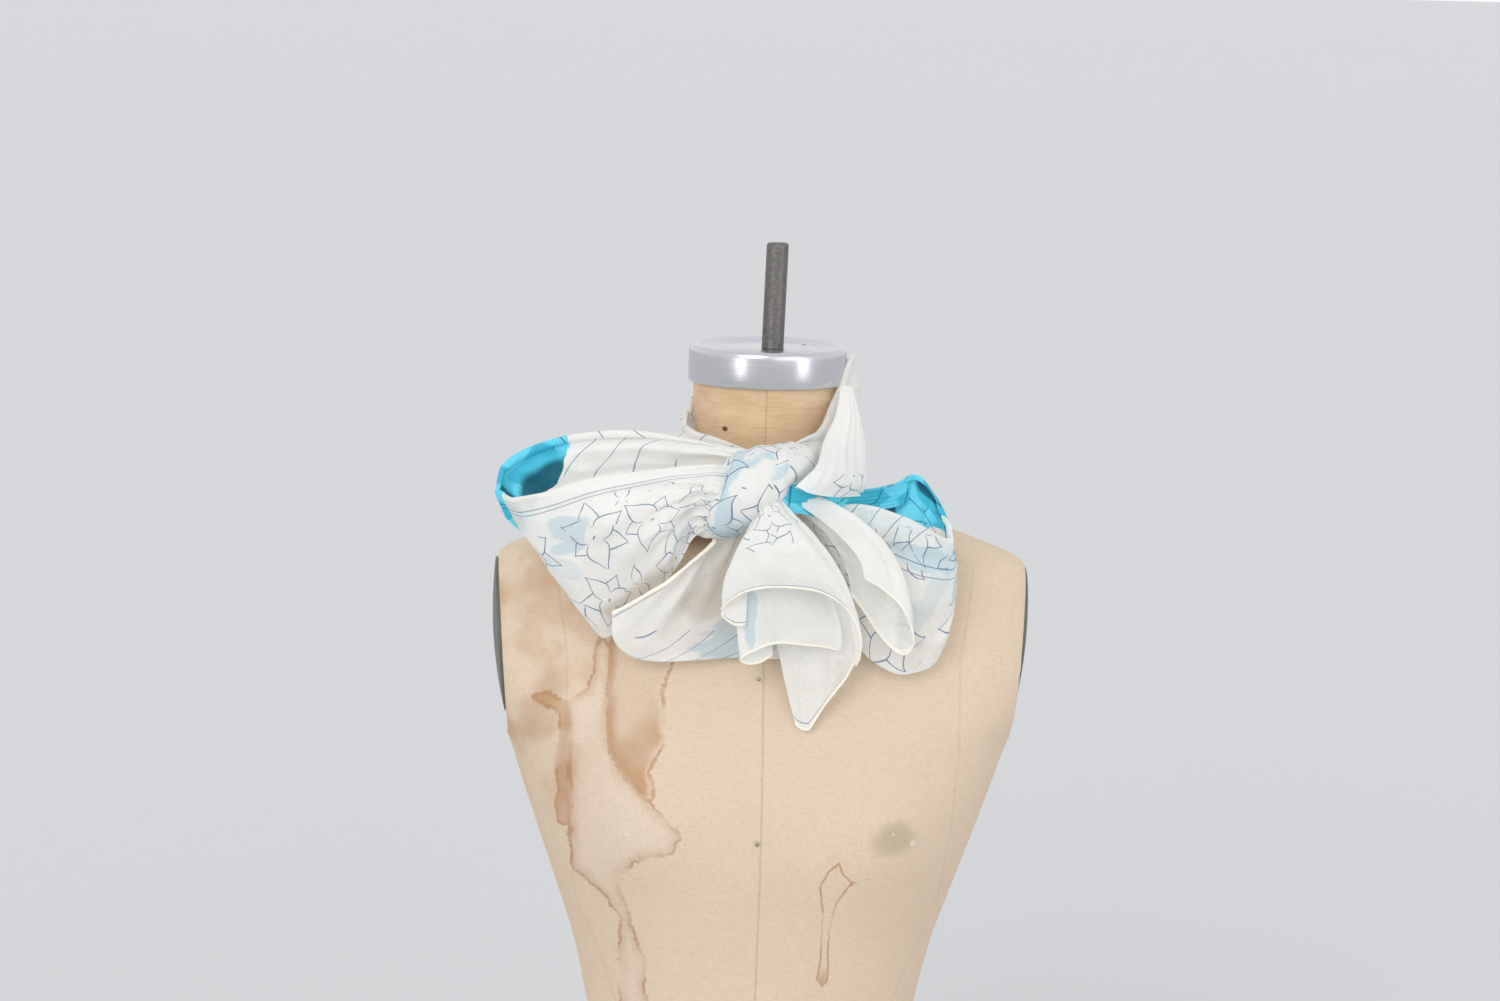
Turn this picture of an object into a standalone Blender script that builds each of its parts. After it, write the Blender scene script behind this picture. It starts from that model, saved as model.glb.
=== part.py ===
"""Sheer scarf tied in a soft bow round the neck of a limbless dress form.

The form stands on its flat underside, facing -Y, with +X on the viewer's right. The origin is the
centre of that underside. Tables are in millimetres and the meshes in metres. Each stretch of the
scarf that shows is a piece of its own, a thin wall on a smooth surface through a few sections.
"""

from collections import namedtuple
from math import pi, radians, sin

import bpy
import numpy as np
from mathutils import Matrix, Vector

OBJECT_NAME = "sheer_scarf_on_dress_form"
MM = 0.001

# Driving dimensions, in millimetres
CLOTH_WALL = 1.2
SEAM_GAP = 0.3
KNOT_SLACK = 0.1
NECK_SLACK = 0.35
NECK_TOP = 733.0
NECK_FOOT = 653.0
NECK_SIDES = 40
CAP_RADIUS = 57.5
CAP_HEIGHT = 27.0
CAP_DISH = 2.2
CAP_SIDES = 44
ROD_RADIUS = 8.0
ROD_LENGTH = 76.0
ROD_LEAN = 1.3
ROD_PLACE = (4.0, -4.0)
ROD_SIDES = 24
ROD_ROUNDING = 1.0
PLATE_SIDES = 32
PLATE_CENTRE_Y = 4.0
PLATE_HALF_DEPTH = 43.0
PLATE_HALF_HEIGHT = 57.0
PLATE_CENTRE_HEIGHT = 542.0
PLATE_RIM = 2.4
PLATE_DOME = 5.0
SIDE_CUT_AT_SHOULDER = 192.5
SHOULDER_HEIGHT = 600.0
SIDE_CUT_SLOPE = 0.075
ARMHOLE_FOOT = 478.0
BUST_HEIGHT = 421.0
BUST_SPACING = 92.0
BUST_DEPTH = 13.0
BUST_HALF_WIDTH = 42.0
BUST_HALF_HEIGHT = 50.0
TORSO_RINGS = 32
TORSO_SIDES = 40

TorsoSection = namedtuple("TorsoSection", "height half_width front back squareness")
TORSO = [
    TorsoSection(0, 168, 116, 118, 2.2),
    TorsoSection(40, 171, 119, 122, 2.2),
    TorsoSection(95, 162, 112, 117, 2.2),
    TorsoSection(160, 137, 98, 100, 2.2),
    TorsoSection(228, 116, 88, 82, 2.2),
    TorsoSection(274, 123.5, 92, 84, 2.2),
    TorsoSection(320, 134, 99, 88, 2.2),
    TorsoSection(360, 147, 106, 92, 2.25),
    TorsoSection(400, 160.5, 112, 96, 2.3),
    TorsoSection(440, 174, 110, 99, 2.35),
    TorsoSection(470, 184, 104, 101, 2.45),
    TorsoSection(500, 198, 96, 102, 2.6),
    TorsoSection(530, 207, 86, 101, 2.7),
    TorsoSection(560, 207, 76, 97, 2.7),
    TorsoSection(585, 203, 68, 90, 2.6),
    TorsoSection(603, 193, 61, 80, 2.5),
    TorsoSection(614, 171, 56, 72, 2.4),
    TorsoSection(626, 139, 53, 64, 2.3),
    TorsoSection(638, 107, 51, 58, 2.2),
    TorsoSection(647, 83, 49, 54, 2.1),
    TorsoSection(NECK_FOOT, 70, 48, 52, 2.0),
]

NeckSection = namedtuple("NeckSection", "height half_width half_depth")
NECK = [
    NeckSection(NECK_FOOT + SEAM_GAP, 68.0, 49.5),
    NeckSection(657.0, 62.5, 49.2),
    NeckSection(663.0, 57.0, 49.0),
    NeckSection(672.0, 53.5, 49.0),
    NeckSection(690.0, 51.5, 49.8),
    NeckSection(712.0, 52.5, 51.8),
    NeckSection(NECK_TOP, 53.5, 53.5),
]

# The cap's profile, top to bottom: how far out as a share of the radius, then how far below its top
# or above its foot
CAP_TOP = [(0, CAP_DISH), (0.82, 2.0), (0.88, 0.3), (0.95, 0), (0.988, 1.6), (1, 4.5)]
CAP_FOOT = [(1, 3.0), (0.98, 0), (0, 0)]

KnotSection = namedtuple("KnotSection", "x centre_y centre_z half_depth half_height")
KNOT = [
    KnotSection(-58, -112, 651, 5, 7),
    KnotSection(-54, -113, 653, 12, 14),
    KnotSection(-44, -113, 658, 20, 21),
    KnotSection(-30, -110, 665, 26, 27),
    KnotSection(-12, -106, 671, 30, 27),
    KnotSection(6, -102, 677, 29, 22),
    KnotSection(18, -97, 683, 24, 15),
    KnotSection(27, -92, 686, 16, 11),
    KnotSection(32, -89, 687, 6, 5),
]
KNOT_RINGS = 15
KNOT_SIDES = 26
KNOT_GATHERS = 7
KNOT_GATHER_DEPTH = 0.035

# Sections of the cloth: the head edge, the middle and the foot edge, each as x, y and z. OnKnot
# is a place on the knot's surface: how far along X, and the turn in degrees from straight down
# towards the front. OnNeck is a place on the neck: the turn from the front to the right, and height.
Section = namedtuple("Section", "head middle foot")
OnKnot = namedtuple("OnKnot", "x turn")
OnNeck = namedtuple("OnNeck", "turn height")

# The band round the neck, from the right of the knot round the back to its left
NECK_WRAP = [
    Section(OnKnot(8, 200), OnKnot(13, 250), OnKnot(16, 290)),
    Section((26, -75, 702), (35, -67, 690), (38, -60, 677)),
    Section((36, -54, 704), (51, -51, 685), (56, -47, 664)),
    Section((46, -34, 712), (65, -30, 691), (67, -27, 666)),
    Section((55, -8, 723), (69, 0, 699), (67, 2, 671)),
    Section((60, 22, 729), (66, 28, 705), (60, 28, 676)),
    Section((48, 48, 731), (49, 49, 706), (41, 40, 679)),
    Section((22, 60, 731), (22, 57, 706), OnNeck(158, 681)),
    Section((-5, 62, 730), (-5, 58, 705), OnNeck(184, 681)),
    Section((-32, 54, 727), (-33, 52, 703), OnNeck(210, 679)),
    Section((-54, 30, 717), (-57, 30, 699), (-56, 27, 675)),
    Section((-58, 3, 710), (-64, 3, 693), (-69, 2, 670)),
    Section((-60, -24, 704), (-69, -27, 687), (-74, -28, 664)),
    Section((-52, -49, 700), (-59, -53, 684), (-61, -53, 664)),
    Section((-37, -66, 698), (-42, -70, 685), (-46, -70, 669)),
    Section(OnKnot(-14, 212), OnKnot(-24, 235), OnKnot(-34, 260)),
]

# The left loop, from the knot out along its front layer and back along its rear layer
LEFT_LOOP = [
    Section(OnKnot(-28, 142), OnKnot(-43, 96), OnKnot(-46, 56)),
    Section((-44, -132, 689), (-54, -138, 663), (-55, -126, 637)),
    Section((-64, -130, 687), (-67, -134, 656), (-61, -117, 624)),
    Section((-86, -129, 683), (-79, -131, 650), (-67, -108, 612)),
    Section((-126, -130, 676), (-106, -126, 634), (-82, -96, 586)),
    Section((-162, -124, 664), (-132, -113, 616), (-101, -90, 567)),
    Section((-185, -108, 657), (-152, -102, 609), (-117, -86, 558)),
    Section((-193, -88, 664), (-161, -89, 615), (-125, -81, 564)),
    Section((-183, -68, 680), (-156, -74, 632), (-120, -76, 579)),
    Section((-145, -56, 694), (-126, -67, 650), (-102, -75, 594)),
    Section((-97, -62, 700), (-91, -71, 662), (-80, -80, 614)),
    Section((-56, -82, 699), (-60, -86, 669), (-60, -91, 640)),
    Section(OnKnot(-17, 172), OnKnot(-38, 235), OnKnot(-52, 300)),
]

# The right loop, from the knot out along its front layer and back along its rear layer
RIGHT_LOOP = [
    Section(OnKnot(21, 24), OnKnot(17, 14), OnKnot(12, 5)),
    Section((40, -101, 659), (36, -100, 640), (31, -95, 620)),
    Section((62, -102, 657), (58, -102, 610), (54, -95, 573)),
    Section((80, -104, 654), (75, -104, 600), (70, -96, 551)),
    Section((97, -102, 648), (90, -105, 594), (84, -97, 542)),
    Section((114, -97, 640), (107, -103, 589), (100, -96, 537)),
    Section((130, -84, 633), (131, -92, 589), (122, -89, 545)),
    Section((130, -73, 641), (135, -81, 604), (130, -83, 564)),
    Section((123, -62, 657), (130, -70, 621), (126, -79, 580)),
    Section((106, -57, 672), (111, -65, 632), (110, -77, 590)),
    Section((88, -60, 666), (89, -68, 634), (88, -78, 598)),
    Section((60, -70, 663), (58, -76, 640), (57, -82, 610)),
    Section((37, -77, 669), (35, -81, 656), (32, -84, 640)),
    Section(OnKnot(26, 300), OnKnot(21, 320), OnKnot(15, 335)),
]

# The tails and the drape hang from the knot: each section runs from root to hem
FRONT_TAIL = [
    Section(OnKnot(-13, 48), (-16, -129, 617), (-17, -125, 577)),
    Section(OnKnot(-14, 52), (-23, -130, 615), (-26, -126, 578)),
    Section(OnKnot(-14, 57), (-30, -134, 619), (-35, -130, 587)),
    Section(OnKnot(-12, 62), (-24, -142, 629), (-27, -138, 598)),
    Section(OnKnot(-9, 66), (-11, -148, 634), (-12, -144, 606)),
    Section(OnKnot(-5, 68), (5, -151, 638), (8, -147, 608)),
    Section(OnKnot(-1, 68), (22, -150, 638), (32, -145, 605)),
    Section(OnKnot(3, 66), (35, -145, 632), (51, -139, 593)),
    Section(OnKnot(5, 64), (44, -138, 621), (62, -132, 575)),
    Section(OnKnot(6, 59), (48, -131, 608), (64, -127, 556)),
    Section(OnKnot(5, 54), (47, -127, 600), (59, -123, 541)),
]
MIDDLE_TAIL = [
    Section(OnKnot(-6, 28), (0, -114, 600), (3, -111, 554)),
    Section(OnKnot(-9, 30), (-7, -115, 600), (-6, -112, 548)),
    Section(OnKnot(-12, 32), (-17, -117, 600), (-14, -114, 547)),
    Section(OnKnot(-12, 37), (-24, -122, 600), (-20, -118, 551)),
    Section(OnKnot(-8, 40), (-15, -126, 600), (-12, -122, 557)),
    Section(OnKnot(-3, 41), (0, -128, 600), (4, -124, 564)),
    Section(OnKnot(1, 41), (18, -127, 600), (22, -123, 563)),
    Section(OnKnot(5, 40), (33, -123, 600), (38, -119, 561)),
    Section(OnKnot(8, 37), (43, -119, 597), (51, -114, 557)),
]
POINT_TAIL = [
    Section(OnKnot(-7, 14), (2, -105, 580), (21, -98, 503)),
    Section(OnKnot(-4, 16), (9, -107, 578), (26, -100, 499)),
    Section(OnKnot(0, 18), (19, -109, 577), (34, -103, 498)),
    Section(OnKnot(4, 19), (32, -110, 578), (44, -105, 505)),
    Section(OnKnot(6, 19), (43, -110, 584), (52, -106, 518)),
    Section(OnKnot(8, 17), (51, -109, 590), (59, -106, 531)),
    Section(OnKnot(9, 15), (57, -108, 596), (63, -105, 545)),
]
SIDE_TAIL = [
    Section(OnKnot(9, 34), (43, -110, 634), (57, -112, 599)),
    Section(OnKnot(11, 34), (50, -108, 628), (66, -111, 587)),
    Section(OnKnot(13, 35), (58, -109, 624), (76, -111, 572)),
    Section(OnKnot(15, 38), (66, -110, 622), (87, -112, 560)),
    Section(OnKnot(16, 42), (74, -112, 624), (96, -115, 556)),
    Section(OnKnot(17, 47), (79, -114, 630), (101, -118, 565)),
    Section(OnKnot(17, 52), (78, -118, 637), (98, -122, 580)),
    Section(OnKnot(15, 56), (69, -122, 641), (89, -126, 595)),
    Section(OnKnot(12, 59), (60, -125, 640), (76, -129, 606)),
    Section(OnKnot(9, 60), (51, -127, 637), (64, -130, 613)),
]
DRAPE = [
    Section(OnKnot(-40, 5), (-68, -115, 608), (-110, -105, 579)),
    Section(OnKnot(-36, 0), (-67, -111, 597), (-108, -103, 562)),
    Section(OnKnot(-31, -4), (-61, -107, 590), (-96, -101, 549)),
    Section(OnKnot(-25, -8), (-48, -101, 585), (-76, -98, 544)),
    Section(OnKnot(-19, -10), (-31, -95, 585), (-46, -94, 546)),
    Section(OnKnot(-13, -12), (-12, -91, 586), (-16, -91, 548)),
    Section(OnKnot(-7, -14), (9, -89, 586), (18, -90, 548)),
    Section(OnKnot(-1, -16), (26, -88, 586), (46, -89, 546)),
    Section(OnKnot(4, -18), (40, -87, 586), (68, -88, 546)),
]

# Soft creases: how many cross the piece, how deep, at what part of a wave they start, how they fade.
# A fade of twelve is full at a twelfth of the way in
CREASE_WANDER = 0.25
TAIL_FADE = 1.4
END_FADE = 12
EDGE_FADE = 6
Creases = namedtuple("Creases", "count depth start fade")
ClothPiece = namedtuple("ClothPiece", "name sections along across creases")
CLOTH = [
    ClothPiece("neck_wrap", NECK_WRAP, 46, 9, Creases(2.5, 1.6, 0.1, "even")),
    ClothPiece("left_loop", LEFT_LOOP, 36, 10, Creases(3.5, 2.2, 0.2, "to_turn")),
    ClothPiece("right_loop", RIGHT_LOOP, 40, 9, Creases(3.0, 2.0, 0.6, "to_turn")),
    ClothPiece("front_tail", FRONT_TAIL, 26, 8, Creases(2.0, 1.2, 0.3, "from_root")),
    ClothPiece("middle_tail", MIDDLE_TAIL, 20, 7, Creases(2.0, 0.8, 0.0, "from_root")),
    ClothPiece("point_tail", POINT_TAIL, 16, 8, Creases(1.5, 1.0, 0.2, "from_root")),
    ClothPiece("side_tail", SIDE_TAIL, 22, 8, Creases(1.5, 0.4, 0.5, "from_root")),
    ClothPiece("drape", DRAPE, 22, 8, Creases(3.0, 1.4, 0.1, "from_root")),
]

Finish = namedtuple("Finish", "colour roughness metallic")
FINISHES = {
    "linen": Finish((0.74, 0.60, 0.44), 0.85, 0.0),
    "papier_mache": Finish((0.54, 0.37, 0.22), 0.7, 0.0),
    "aluminium": Finish((0.66, 0.68, 0.72), 0.3, 1.0),
    "steel": Finish((0.16, 0.15, 0.15), 0.45, 0.9),
    "plate_paint": Finish((0.22, 0.23, 0.21), 0.5, 0.2),
    "scarf_silk": Finish((0.84, 0.85, 0.82), 0.55, 0.0),
}


def clear_scene():
    """Take every object out of the scene."""
    for thing in list(bpy.data.objects):
        bpy.data.objects.remove(thing)


def new_collection(name):
    """A collection in the scene."""
    collection = bpy.data.collections.new(name)
    bpy.context.scene.collection.children.link(collection)
    return collection


def new_material(name, finish):
    """A Principled material of one colour, for one piece."""
    material = bpy.data.materials.new(name)
    material.use_nodes = True
    shader = material.node_tree.nodes["Principled BSDF"]
    shader.inputs["Base Color"].default_value = (*finish.colour, 1.0)
    shader.inputs["Roughness"].default_value = finish.roughness
    shader.inputs["Metallic"].default_value = finish.metallic
    return material


def add_piece(name, points, faces, finish, collection):
    """An object from points in millimetres and faces, shaded smooth, with a material of its own."""
    mesh = bpy.data.meshes.new(name)
    mesh.from_pydata((np.asarray(points, float) * MM).tolist(), [], faces)
    mesh.shade_smooth()
    mesh.set_sharp_from_angle(angle=radians(40))
    mesh.materials.append(new_material(name, FINISHES[finish]))
    piece = bpy.data.objects.new(name, mesh)
    collection.objects.link(piece)
    return piece


def through(rows, count):
    """Rows of numbers carried on a smooth curve through every row, read at count even steps."""
    rows = np.asarray(rows, float)
    padded = np.concatenate([2 * rows[:1] - rows[1:2], rows, 2 * rows[-1:] - rows[-2:-1]])
    place = np.linspace(0, len(rows) - 1, count)
    start = np.minimum(place.astype(int), len(rows) - 2)
    t = (place - start).reshape((-1,) + (1,) * (rows.ndim - 1))
    before, here, after, beyond = (padded[start + shift] for shift in range(4))
    return 0.5 * (
        2 * here
        + (after - before) * t
        + (2 * before - 5 * here + 4 * after - beyond) * t**2
        + (3 * here - before - 3 * after + beyond) * t**3
    )


def loft(name, rings, finish, collection):
    """A solid through closed rings of equal point count, bottom ring first, with flat ends."""
    rings = np.asarray(rings, float)
    levels, around = rings.shape[:2]
    faces = [
        (
            level * around + side,
            level * around + (side + 1) % around,
            (level + 1) * around + (side + 1) % around,
            (level + 1) * around + side,
        )
        for level in range(levels - 1)
        for side in range(around)
    ]
    faces.append(tuple(reversed(range(around))))
    faces.append(tuple(range((levels - 1) * around, levels * around)))
    return add_piece(name, rings.reshape(-1, 3), faces, finish, collection)


def side_cut(height):
    """How far out the armhole's flat cut lies at a height."""
    return SIDE_CUT_AT_SHOULDER - SIDE_CUT_SLOPE * (SHOULDER_HEIGHT - height)


def torso_ring(section, around):
    """A rounded section with two soft bust mounds in front, cut flat at the armholes."""
    height, half_width, front, back, squareness = section
    turn = np.linspace(0, 2 * pi, around, endpoint=False)
    x = half_width * np.sign(np.cos(turn)) * np.abs(np.cos(turn)) ** (2 / squareness)
    depth = np.where(np.sin(turn) < 0, front, back)
    y = depth * np.sign(np.sin(turn)) * np.abs(np.sin(turn)) ** (2 / squareness)
    sideways = (np.abs(x) - BUST_SPACING) / BUST_HALF_WIDTH
    upwards = (height - BUST_HEIGHT) / BUST_HALF_HEIGHT
    y -= BUST_DEPTH * np.exp(-(sideways**2) - upwards**2) * np.clip(-y / front, 0, 1)
    if height > ARMHOLE_FOOT:
        x = np.clip(x, -side_cut(height), side_cut(height))
    return np.stack([x, y, np.full(around, height)], axis=1)


def make_torso(collection):
    """The linen torso, from its flat underside to the neck's foot."""
    sections = through([tuple(section) for section in TORSO], TORSO_RINGS)
    sections[:, 0] = np.maximum.accumulate(sections[:, 0])
    rings = [torso_ring(section, TORSO_SIDES) for section in sections]
    return loft("torso", rings, "linen", collection)


def make_neck(collection):
    """The bare papier-mache neck between the torso and the cap."""
    turn = np.linspace(0, 2 * pi, NECK_SIDES, endpoint=False)
    rings = [
        np.stack([wide * np.cos(turn), deep * np.sin(turn), height + 0 * turn], axis=1)
        for height, wide, deep in NECK
    ]
    return loft("neck", rings, "papier_mache", collection)


def turned(name, profile, steps, finish, collection):
    """A solid of revolution: a profile of radius and height, top to bottom, turned by a Screw."""
    points = [(radius, 0, height) for radius, height in profile]
    edges = [(i, i + 1) for i in range(len(points) - 1)]
    mesh = bpy.data.meshes.new(name)
    mesh.from_pydata((np.array(points, float) * MM).tolist(), edges, [])
    mesh.materials.append(new_material(name, FINISHES[finish]))
    piece = bpy.data.objects.new(name, mesh)
    collection.objects.link(piece)
    screw = piece.modifiers.new("turn", "SCREW")
    screw.steps = steps
    screw.render_steps = steps
    screw.use_merge_vertices = True
    screw.merge_threshold = 0.00001
    return piece


def make_cap(collection):
    """The aluminium neck cap: a short drum with a rolled rim and a shallow dished top."""
    foot = NECK_TOP + SEAM_GAP
    profile = [(CAP_RADIUS * out, foot + CAP_HEIGHT - down) for out, down in CAP_TOP]
    profile += [(CAP_RADIUS * out, foot + up) for out, up in CAP_FOOT]
    return turned("neck_cap", profile, CAP_SIDES, "aluminium", collection)


def make_rod(collection):
    """The steel rod that stands on the cap and leans a little to the right."""
    lean = radians(ROD_LEAN)
    foot = NECK_TOP + SEAM_GAP + CAP_HEIGHT - CAP_DISH + SEAM_GAP + ROD_RADIUS * sin(lean)
    middle = foot + ROD_LENGTH / 2
    bpy.ops.mesh.primitive_cylinder_add(
        vertices=ROD_SIDES, radius=ROD_RADIUS * MM, depth=ROD_LENGTH * MM, location=(0, 0, 0)
    )
    rod = bpy.context.object
    rod.name = "rod"
    rod.data.name = "rod"
    move = Matrix.Translation(Vector((*ROD_PLACE, middle)) * MM)
    rod.data.transform(move @ Matrix.Rotation(lean, 4, "Y"))
    rod.data.shade_smooth()
    rod.data.set_sharp_from_angle(angle=radians(40))
    rod.data.materials.append(new_material("rod", FINISHES["steel"]))
    for holder in list(rod.users_collection):
        holder.objects.unlink(rod)
    collection.objects.link(rod)
    bevel = rod.modifiers.new("rounded_ends", "BEVEL")
    bevel.width = ROD_ROUNDING * MM
    bevel.segments = 2
    bevel.limit_method = "ANGLE"
    return rod


def make_plate(name, side, collection):
    """An oval armhole plate on the flat cut: a low rim and a shallow dome. side is 1 or -1."""
    turn = np.linspace(0, 2 * pi, PLATE_SIDES, endpoint=False)
    layers = [(1.0, 0.0), (1.0, PLATE_RIM)]
    layers += [(size, PLATE_RIM + PLATE_DOME * (1 - size**2)) for size in (0.9, 0.72, 0.5, 0.25)]
    rings = []
    for size, out in layers:
        z = PLATE_CENTRE_HEIGHT + PLATE_HALF_HEIGHT * size * np.sin(turn)
        y = PLATE_CENTRE_Y + PLATE_HALF_DEPTH * size * np.cos(turn)
        x = side_cut(z) + SEAM_GAP + out
        rings.append(np.stack([x * side, y, z], axis=1)[::side])
    return loft(name, rings, "plate_paint", collection)


def knot_point(section, turn, grow):
    """Points on a gathered section of the knot, grown outwards, at turns from down to the front."""
    swell = 1 + KNOT_GATHER_DEPTH * np.sin(KNOT_GATHERS * turn)
    y = section.centre_y - (section.half_depth * swell + grow) * np.sin(turn)
    z = section.centre_z - (section.half_height * swell + grow) * np.cos(turn)
    return np.stack([section.x + 0 * turn, y, z], axis=-1)


def knot_sections():
    """The knot's sections, read from a smooth curve through its table."""
    return through([tuple(section) for section in KNOT], KNOT_RINGS)


def make_knot(parts):
    """The knot: the cloth wound round itself, whose hidden layers share one rounded solid."""
    turn = np.linspace(0, 2 * pi, KNOT_SIDES, endpoint=False)
    rings = [knot_point(KnotSection(*section), -turn, 0) for section in knot_sections()]
    return loft("knot", rings, "scarf_silk", parts)


def neck_point(turn, height, grow):
    """A point on the neck, grown outwards, at a turn from the front to the right."""
    rows = np.array([tuple(section) for section in NECK])
    half_width, half_depth = (np.interp(height, rows[:, 0], rows[:, i]) + grow for i in (1, 2))
    return np.array([half_width * np.sin(turn), -half_depth * np.cos(turn), height])


def on_knot(x, turn):
    """Points on the knot's surface, at places along X and turns in degrees, the wall just clear."""
    rows = knot_sections()
    columns = [np.interp(x, rows[:, 0], column) for column in rows.T]
    return knot_point(KnotSection(*columns), np.radians(turn), SEAM_GAP + CLOTH_WALL / 2 + KNOT_SLACK)


def place(point):
    """The x, y and z of a place in a section's table, with the wall just clear of what it is on."""
    if isinstance(point, OnNeck):
        grow = SEAM_GAP + CLOTH_WALL / 2 + NECK_SLACK
        return neck_point(radians(point.turn), point.height, grow)
    if isinstance(point, OnKnot):
        return on_knot(*point)
    return np.array(point, float)


def parabola(head, middle, foot, t):
    """Points on the parabola through three places, head at 0, middle at a half and foot at 1."""
    return head * (1 - t) * (1 - 2 * t) + middle * 4 * t * (1 - t) + foot * t * (2 * t - 1)


def section_points(section, across):
    """Points from head to foot of a section. One that lies on the knot follows its surface."""
    t = np.linspace(0, 1, across)[:, None]
    if all(isinstance(point, OnKnot) for point in section):
        return on_knot(*parabola(*np.array(section, float), t).T)
    return parabola(*(place(point) for point in section), t)


def crease_depth(creases, along, across):
    """How far each grid point is pushed off the smooth surface by the soft creases."""
    if creases.fade == "from_root":
        wave = np.sin(2 * pi * (creases.count * along + creases.start))
        return creases.depth * wave * np.clip(across * TAIL_FADE, 0, 1)
    wander = CREASE_WANDER * np.sin(2 * pi * along)
    wave = np.sin(2 * pi * (creases.count * across + creases.start + wander))
    ends = np.clip(np.minimum(along, 1 - along) * END_FADE, 0, 1)
    turn = np.abs(np.cos(pi * along)) if creases.fade == "to_turn" else 1
    edges = np.clip(np.minimum(across, 1 - across) * EDGE_FADE, 0, 1)
    return creases.depth * wave * ends * turn * edges


def cloth_surface(piece):
    """The piece's middle surface: smooth curves along its sections, a parabola across each."""
    rows = [section_points(section, piece.across) for section in piece.sections]
    points = through(rows, piece.along)
    normal = np.cross(np.gradient(points, axis=0), np.gradient(points, axis=1))
    normal /= np.maximum(np.linalg.norm(normal, axis=2, keepdims=True), 1e-6)
    along, across = np.meshgrid(
        np.linspace(0, 1, piece.along), np.linspace(0, 1, piece.across), indexing="ij"
    )
    return points + normal * crease_depth(piece.creases, along, across)[..., None]


def make_cloth(piece, collection):
    """One stretch of the scarf: its middle surface given a wall."""
    surface = cloth_surface(piece)
    along, across = surface.shape[:2]
    faces = [
        (i * across + j, (i + 1) * across + j, (i + 1) * across + j + 1, i * across + j + 1)
        for i in range(along - 1)
        for j in range(across - 1)
    ]
    cloth = add_piece(piece.name, surface.reshape(-1, 3), faces, "scarf_silk", collection)
    wall = cloth.modifiers.new("wall", "SOLIDIFY")
    wall.thickness = CLOTH_WALL * MM
    wall.offset = 0
    return cloth


def build():
    """The whole object: the dress form, then the scarf it wears."""
    clear_scene()
    parts = new_collection(OBJECT_NAME)
    make_torso(parts)
    make_neck(parts)
    make_cap(parts)
    make_rod(parts)
    make_plate("armhole_plate_left", -1, parts)
    make_plate("armhole_plate_right", 1, parts)
    make_knot(parts)
    for piece in CLOTH:
        make_cloth(piece, parts)


build()
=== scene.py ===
"""Looks of a sheer printed scarf tied in a soft bow round the neck of a limbless dress form.

Each stretch of the scarf is a thin silk surface through listed sections, on the form of its
solid, with gathers at the knot, creases, rolled hems and a print of line flowers. The form is
water-stained linen with a papier-mache neck, a turned cap and a steel rod. Tables are in
millimetres, as x, y and z in the frame, and meshes in metres.
"""

from collections import namedtuple
from math import pi, radians

import bpy
import numpy as np
from mathutils import Matrix, Vector


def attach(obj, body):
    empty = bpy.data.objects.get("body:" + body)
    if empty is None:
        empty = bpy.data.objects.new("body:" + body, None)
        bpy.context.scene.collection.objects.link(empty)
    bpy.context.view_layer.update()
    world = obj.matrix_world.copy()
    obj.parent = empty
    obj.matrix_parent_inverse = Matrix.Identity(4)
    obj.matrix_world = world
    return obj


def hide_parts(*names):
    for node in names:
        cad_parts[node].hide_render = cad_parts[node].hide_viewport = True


MM = 0.001

# The camera's place and view, and the photograph's frame
CAMERA_PLACE = (-134.9, -2384.0, 1023.1)
CAMERA_PITCH = -9.0
CAMERA_YAW = -3.0
CAMERA_ROLL = 1.6
CAMERA_LENS = 79.2
CAMERA_SENSOR = 36.0
CAMERA_REACH = 3000

# The studio, in metres: its floor, its lamps far off with their angle in degrees and power, and its
# softboxes, which light the cap from both sides
FLOOR_HALF = 900.0
FLOOR_LEVEL = -0.0003
SKY_COLOUR = (0.90, 0.91, 0.93, 1.0)
SKY_DIM = 0.85
SKY_BRIGHT = 1.06
Lamp = namedtuple("Lamp", "name place angle power")
LAMPS = [
    Lamp("window_light", (-1.2, -2.4, 1.35), 30, 0.77),
    Lamp("front_fill", (1.5, -2.4, 0.6), 50, 0.44),
]
SOFTBOXES = {"left_softbox": (-1.27, -1.41, 0.55), "right_softbox": (1.45, -1.22, 0.55)}
SOFTBOX_WIDTH = 0.42
SOFTBOX_HEIGHT = 0.9
SOFTBOX_SPREAD = 60
SOFTBOX_POWER = 0.27
SOFTBOX_TARGET = (0, 0, 0.75)

# The dress form
CAP_RADIUS = 57.5
CAP_FOOT = 733.3
CAP_TOP = 760.3
ROD_RADIUS = 8.0
ROD_PLACE = (4.0, -4.0)
ROD_FOOT = 758.4
ROD_TOP = 834.6
ROD_LEAN = 1.3
SIDE_CUT_AT_SHOULDER = 192.5
SHOULDER_HEIGHT = 600.0
SIDE_CUT_SLOPE = 0.075
ARMHOLE_FOOT = 478.0
CUT_WIDENS = 0.3
PIN_RADIUS = 1.5
PIN_DEPTH = 0.9
BUST_HEIGHT = 421.0
BUST_SPACING = 92.0
BUST_DEPTH = 13.0
BUST_HALF_WIDTH = 42.0
BUST_HALF_HEIGHT = 50.0

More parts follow.
